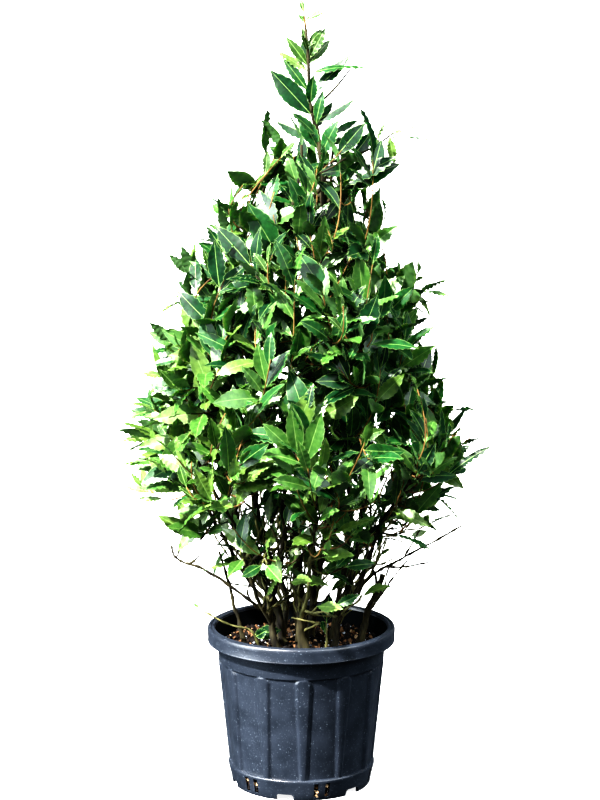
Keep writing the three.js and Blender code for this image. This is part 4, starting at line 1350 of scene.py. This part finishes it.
    def leaf_tangle(self, tangle):
        """Sets a small leaf at the tip of some of the bare twigs."""
        for twig in tangle:
            if draw.random() < TANGLE_LEAVES and twig.curve.places[-1][2] > TANGLE_LEAF_LOWEST:
                place, tangent, _, _ = twig.curve.frame(1)
                direction = unit(tangent + draw.normal(0, TANGLE_LEAF_SPREAD, 3))
                length = draw.uniform(*TANGLE_LEAF_LENGTHS)
                width = length * draw.uniform(*LEAF_WIDTHS)
                face = leaf_face(place, direction, tangent)
                tint = int(draw.integers(*TANGLE_LEAF_TINTS))
                leaf = Leaf(place, direction, face, length, width, tint)
                if math.hypot(*leaf.tip()[:2]) < CROWN_REACH and self.room.is_free(leaf.middle()):
                    self.add_leaf("lower", leaf)

    def leaf_bare_growth(self, bare):
        """Sets the few leaves that the photo shows on the bare growth."""
        for name, share, *leaf in LOW_LEAVES:
            twig = next(limb for limb in bare if limb.name == name)
            self.add_leaf("lower", pictured_leaf(twig.curve.at(share), *leaf))


# Leaf meshes.
def blade_profile(share):
    """Half the blade's width as a share of its widest, from the petiole's end to the tip."""
    point = 1 - BLADE_POINT * share**BLADE_POINT_SHARPNESS
    return np.sin(math.pi * share**BLADE_SKEW) ** BLADE_FULLNESS * point


def leaf_sections(leaf, share):
    """How far each station's vertices are across the leaf and above its midrib."""
    blade = np.clip((share - PETIOLE_SHARE) / (1 - PETIOLE_SHARE), 0, 1)
    half = np.maximum(leaf.width / 2 * blade_profile(blade), PETIOLE_HALF_WIDTH)
    half[-1] = TIP_HALF_WIDTH
    swell = np.minimum(2 * np.sin(math.pi * blade), 1) * leaf.wave
    teeth = np.arange(len(share)) % 2 * swell
    left, right = half - TOOTH_DEPTH * teeth, half - TOOTH_DEPTH * (swell - teeth)
    inner = 1 - MARGIN / np.maximum(half, 2 * MARGIN)
    rib = np.minimum(RIB_HALF_WIDTH * (1 - RIB_TAPER * share), half / 2)
    billow = BILLOW * swell * np.sin(BILLOW_COUNT * math.pi * share + leaf.phase)
    wave = RIPPLE * (teeth - swell / 2) - billow
    lift, fall = leaf.fold * half + wave, leaf.fold * half - wave
    keel = -LEAF_THICKNESS - KEEL_DEPTH * (1 - share)
    none = np.zeros_like(half)
    across = np.column_stack([-left, -left * inner, -rib, rib, right * inner, right, none])
    above = np.column_stack([lift, lift * inner, none, none, fall * inner, fall, keel])
    return across[..., None], above[..., None]


def leaf_vertices(leaf):
    share = np.linspace(0, 1, LEAF_STATIONS + 1)
    across, above = leaf_sections(leaf, share)
    turn, roll = leaf.droop * share, leaf.twist * share
    along = np.outer(np.cos(turn), leaf.direction) - np.outer(np.sin(turn), leaf.face)
    normal = np.outer(np.sin(turn), leaf.direction) + np.outer(np.cos(turn), leaf.face)
    sideways = np.outer(np.cos(roll), np.cross(leaf.direction, leaf.face)) + np.sin(roll)[:, None] * normal
    normal = np.cross(sideways, along)
    middle = leaf.along(share)
    return (middle[:, None] + across * sideways[:, None] + above * normal[:, None]).reshape(-1, 3)


def leaf_faces():
    """A leaf's triangles, and whether each is blade, rib or underside. The margin counts as rib.

    Upper and lower side are split along the same diagonals, so that neither shows through the
    other.
    """
    faces, kinds = [], []
    for station in range(LEAF_STATIONS):
        low, high = station * COLUMNS, (station + 1) * COLUMNS
        for start, end, kind in STRIPS:
            if kind == "underside":
                faces += [(low + start, low + end, high + start), (low + end, high + end, high + start)]
            else:
                faces += [(low + start, low + end, high + end), (low + start, high + end, high + start)]
            kinds += [kind, kind]
    last = LEAF_STATIONS * COLUMNS
    faces += [tuple(reversed(range(COLUMNS))), tuple(range(last, last + COLUMNS))]
    return faces, [*kinds, "rib", "rib"]


def join_leaves(name, leaves, materials):
    """One piece of many leaves."""
    faces, kinds = leaf_faces()
    bodies = Bodies()
    for leaf in leaves:
        underside = YOUNG_UNDERSIDE_FINISH if leaf.tint == YOUNG_TINT else UNDERSIDE_FINISH
        finish = {"blade": leaf.tint, "rib": RIB_FINISH, "underside": underside}
        bodies.add(leaf_vertices(leaf), faces, [finish[kind] for kind in kinds])
    piece = bodies.piece(name, materials)
    piece.data.set_sharp_from_angle(angle=LEAF_SHARP_ANGLE)
    return piece


def join_twigs(name, twigs, materials):
    """One piece of many leafy twigs."""
    bodies = Bodies()
    for curve, radius_at, young in twigs:
        rings = max(TWIG_RINGS_LEAST, int(curve.length / TWIG_RING_SPACING))
        bodies.add(*tube(curve, radius_at, TWIG_SIDES, rings), int(young))
    piece = bodies.piece(name, materials)


def join_foliage(foliage, bark):
    """The pieces of leafy twigs and of leaves."""
    twig_materials = [bark, bark_material(*TWIG_BARK)]
    leaf_materials = [leaf_material(*finish) for finish in LEAF_FINISHES]
    for name, tiers in PIECE_TIERS.items():
        twigs = [twig for tier in tiers for twig in foliage.twigs[tier]]
        leaves = [leaf for tier in tiers for leaf in foliage.leaves[tier]]
        starts = tuple(f"{tier}_foliage" for tier in tiers)
        nodes = sorted(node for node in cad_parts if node.startswith(starts))
        join_twigs(f"{name}_twigs", twigs, twig_materials)
        for part, first in enumerate(range(0, len(leaves), LEAVES_A_PIECE), start=1):
            some = leaves[first:first + LEAVES_A_PIECE]
            piece = join_leaves(f"{name}_leaves_{part}", some, leaf_materials)
            if part == 1:
                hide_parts(*nodes)


# Materials.
def linear(red, green, blue):
    """A colour given as 0 to 255, as a screen shows it, turned into light."""
    def one(value):
        value /= 255
        return value / 12.92 if value <= 0.04045 else ((value + 0.055) / 1.055) ** 2.4
    return one(red), one(green), one(blue), 1


def new_material(name, roughness, specular):
    """A material and its shader."""
    material = bpy.data.materials.new(name)
    material.use_nodes = True
    shader = material.node_tree.nodes["Principled BSDF"]
    shader.inputs["Roughness"].default_value = roughness
    shader.inputs["Specular IOR Level"].default_value = specular
    return material, shader


def link(source, output, target, socket):
    """Links two nodes of one material."""
    source.id_data.links.new(source.outputs[output], target.inputs[socket])


def add_noise(shader, scale, detail, stretch=None):
    """A pattern that is fixed to the object, and stretched if asked."""
    nodes = shader.id_data.nodes
    source, output = nodes.new("ShaderNodeTexCoord"), "Object"
    if stretch:
        mapping = nodes.new("ShaderNodeMapping")
        mapping.inputs["Scale"].default_value = stretch
        link(source, output, mapping, "Vector")
        source, output = mapping, "Vector"
    pattern = nodes.new("ShaderNodeTexNoise")
    pattern.inputs["Scale"].default_value = scale
    pattern.inputs["Detail"].default_value = detail
    link(source, output, pattern, "Vector")
    return pattern


def add_ramp(pattern, *stops):
    """Colours by a pattern's strength, from two stops of a strength and its colour."""
    ramp = pattern.id_data.nodes.new("ShaderNodeValToRGB")
    for element, (strength, colour) in zip(ramp.color_ramp.elements, stops):
        element.position = strength
        element.color = colour
    link(pattern, "Fac", ramp, "Fac")
    return ramp


def add_bump(shader, pattern, strength, distance):
    bump = shader.id_data.nodes.new("ShaderNodeBump")
    bump.inputs["Strength"].default_value = strength
    bump.inputs["Distance"].default_value = distance
    link(pattern, "Fac", bump, "Height")
    link(bump, "Normal", shader, "Normal")


def leaf_material(name, dark, light, roughness, specular):
    """Mottled leaf with fine veins, which lets a little light through."""
    material, shader = new_material(name, roughness, specular)
    shader.inputs["Subsurface Weight"].default_value = LEAF_GLOW
    shader.inputs["Subsurface Radius"].default_value = LEAF_GLOW_RADIUS
    shader.inputs["Subsurface Scale"].default_value = LEAF_GLOW_DEPTH
    mottle = add_noise(shader, scale=160, detail=4)
    ramp = add_ramp(mottle, (0.38, linear(*dark)), (0.66, linear(*light)))
    link(ramp, "Color", shader, "Base Color")
    veins = add_noise(shader, scale=420, detail=2)
    add_bump(shader, veins, strength=0.25, distance=0.0006)
    return material


def plastic_material():
    """Black nursery plastic of a dull blue slate, with pale specks of dust."""
    material, shader = new_material("pot_plastic", 0.35, 0.9)
    cloud = add_noise(shader, scale=34, detail=9)
    slate = add_ramp(cloud, (0.3, (0.014, 0.02, 0.03, 1)), (0.72, (0.032, 0.042, 0.06, 1)))
    specks = add_noise(shader, scale=520, detail=3)
    dust = add_ramp(specks, (0.64, (0, 0, 0, 1)), (0.74, (1, 1, 1, 1)))
    mix = shader.id_data.nodes.new("ShaderNodeMix")
    mix.data_type = "RGBA"
    mix.inputs["B"].default_value = (0.22, 0.27, 0.33, 1)
    link(dust, "Color", mix, "Factor")
    link(slate, "Color", mix, "A")
    link(mix, "Result", shader, "Base Color")
    grain = add_noise(shader, scale=420, detail=4)
    add_bump(shader, grain, strength=0.3, distance=0.0005)
    return material


def painted_shade_inside_material():
    """The pot's inside: a near-black finish that paints the shade that the crown casts into the pot."""
    material, shader = new_material("pot_inside", 0.9, 0.04)
    shader.inputs["Base Color"].default_value = (0.004, 0.006, 0.007, 1)
    return material


def soil_material():
    """Dark crumbly compost."""
    material, shader = new_material("compost", 0.95, 0.2)
    crumbs = add_noise(shader, scale=160, detail=8)
    ramp = add_ramp(crumbs, (0.4, (0.006, 0.004, 0.003, 1)), (0.68, (0.05, 0.031, 0.018, 1)))
    link(ramp, "Color", shader, "Base Color")
    add_bump(shader, crumbs, strength=1, distance=0.004)
    return material


def chip_materials():
    """A plain colour for each kind of chip."""
    materials = []
    for name, _, _, colour in CHIPS:
        material, shader = new_material(name, 0.85, 0.3)
        shader.inputs["Base Color"].default_value = linear(*colour)
        materials.append(material)
    return materials


def bark_material(name, dark, light, roughness):
    """Bark streaked along its limb."""
    material, shader = new_material(name, roughness, 0.3)
    streaks = add_noise(shader, scale=90, detail=6, stretch=(1, 1, 0.25))
    ramp = add_ramp(streaks, (0.35, linear(*dark)), (0.68, linear(*light)))
    link(ramp, "Color", shader, "Base Color")
    add_bump(shader, streaks, strength=0.6, distance=0.0015)
    return material


# Camera, light and studio.
def make_camera():
    data = bpy.data.cameras.new("camera")
    data.lens = CAMERA_LENS
    data.sensor_width = CAMERA_SENSOR
    data.dof.use_dof = False
    camera = new_object("camera", data)
    camera.location = CAMERA_PLACE
    camera.rotation_euler = Euler((math.radians(90 - CAMERA_PITCH), 0, 0))
    bpy.context.scene.camera = camera


def make_sun(name, azimuth, elevation, energy, colour, size, sheen):
    """A light from far away."""
    data = bpy.data.lights.new(name, "SUN")
    data.energy = energy
    data.color = colour
    data.angle = math.radians(size)
    sun = new_object(name, data)
    sun.visible_glossy = sheen
    azimuth, elevation = math.radians(azimuth), math.radians(elevation)
    towards = Vector(polar(azimuth, math.cos(elevation), math.sin(elevation)))
    sun.rotation_euler = towards.to_track_quat("Z", "Y").to_euler()


def make_light():
    """The lights from far away, a pale sky, and how the picture shows their light."""
    for light in LIGHTS:
        make_sun(*light)
    world = bpy.data.worlds.new("studio")
    world.use_nodes = True
    background = world.node_tree.nodes["Background"]
    background.inputs["Color"].default_value = SKY_COLOUR
    background.inputs["Strength"].default_value = SKY_STRENGTH
    bpy.context.scene.world = world
    bpy.context.scene.view_settings.view_transform = "Standard"
    bpy.context.scene.view_settings.look = "High Contrast"


def stage_piece(name, vertices, faces, glow):
    """A plain white part of the studio, which the camera sees but which lights nothing."""
    material, shader = new_material(name, 0.9, 0.1)
    shader.inputs["Base Color"].default_value = (0.8, 0.8, 0.8, 1)
    shader.inputs["Emission Color"].default_value = (1, 1, 1, 1)
    shader.inputs["Emission Strength"].default_value = glow
    piece = new_object(name, new_mesh(name, vertices, faces, [material]))
    for ray in ("diffuse", "glossy", "transmission", "shadow"):
        setattr(piece, f"visible_{ray}", False)


def make_studio():
    """A white floor, and a white wall and ceiling over it."""
    turns = np.arange(STUDIO_SIDES) * FULL_TURN / STUDIO_SIDES
    floor = [polar(turn, STUDIO_RADIUS, 0) for turn in turns]
    roof = [polar(turn, STUDIO_RADIUS, STUDIO_HEIGHT) for turn in turns]
    *walls, _, ceiling = shell_faces(2, STUDIO_SIDES)
    stage_piece("studio_floor", floor, [tuple(range(STUDIO_SIDES))], FLOOR_GLOW)
    stage_piece("studio_wall", floor + roof, [*walls, ceiling], WALL_GLOW)


def make_plant():
    """The limbs, the bare growth and the foliage that they carry."""
    leader = make_leader()
    stems = [make_stem(index) for index in range(STEM_COUNT)]
    low = [make_low_bough(stem, index) for index, stem in enumerate(stems)]
    upper, high = make_upper_boughs(leader, UPPER), make_upper_boughs(leader, HIGH)
    limbs = [leader, *stems, *low, *upper, *high]
    bare = [twig for row in BARE_GROWTH for twig in make_bare_twig(*row, stems)]
    tangle = make_tangle([leader, *stems, *low])
    bare += tangle
    carriers = {"lower": low, "middle": stems, "upper": upper, "high": high, "top": [leader]}
    foliage = Foliage(limbs + bare, leader)
    for mass in plan_masses(carriers):
        foliage.grow_twigs(mass)
    foliage.grow_front(tangle)
    foliage.grow_outline()
    foliage.grow_leaves()
    foliage.leaf_tangle(tangle)
    foliage.leaf_bare_growth(bare)
    # The plain bark's darkness paints the crown's shade.
    bark, green_bark = bark_material(*BARK_WITH_PAINTED_SHADE), bark_material(*GREEN_BARK)
    join_limbs("limbs", limbs, [bark, green_bark], LIMB_RING_SPACING)
    join_limbs("bare_twigs", bare, [bark, green_bark], BARE_RING_SPACING, knots=True)
    join_foliage(foliage, bark)


make_camera()
make_light()
make_studio()
make_pot()
make_compost()
make_chips()
make_plant()
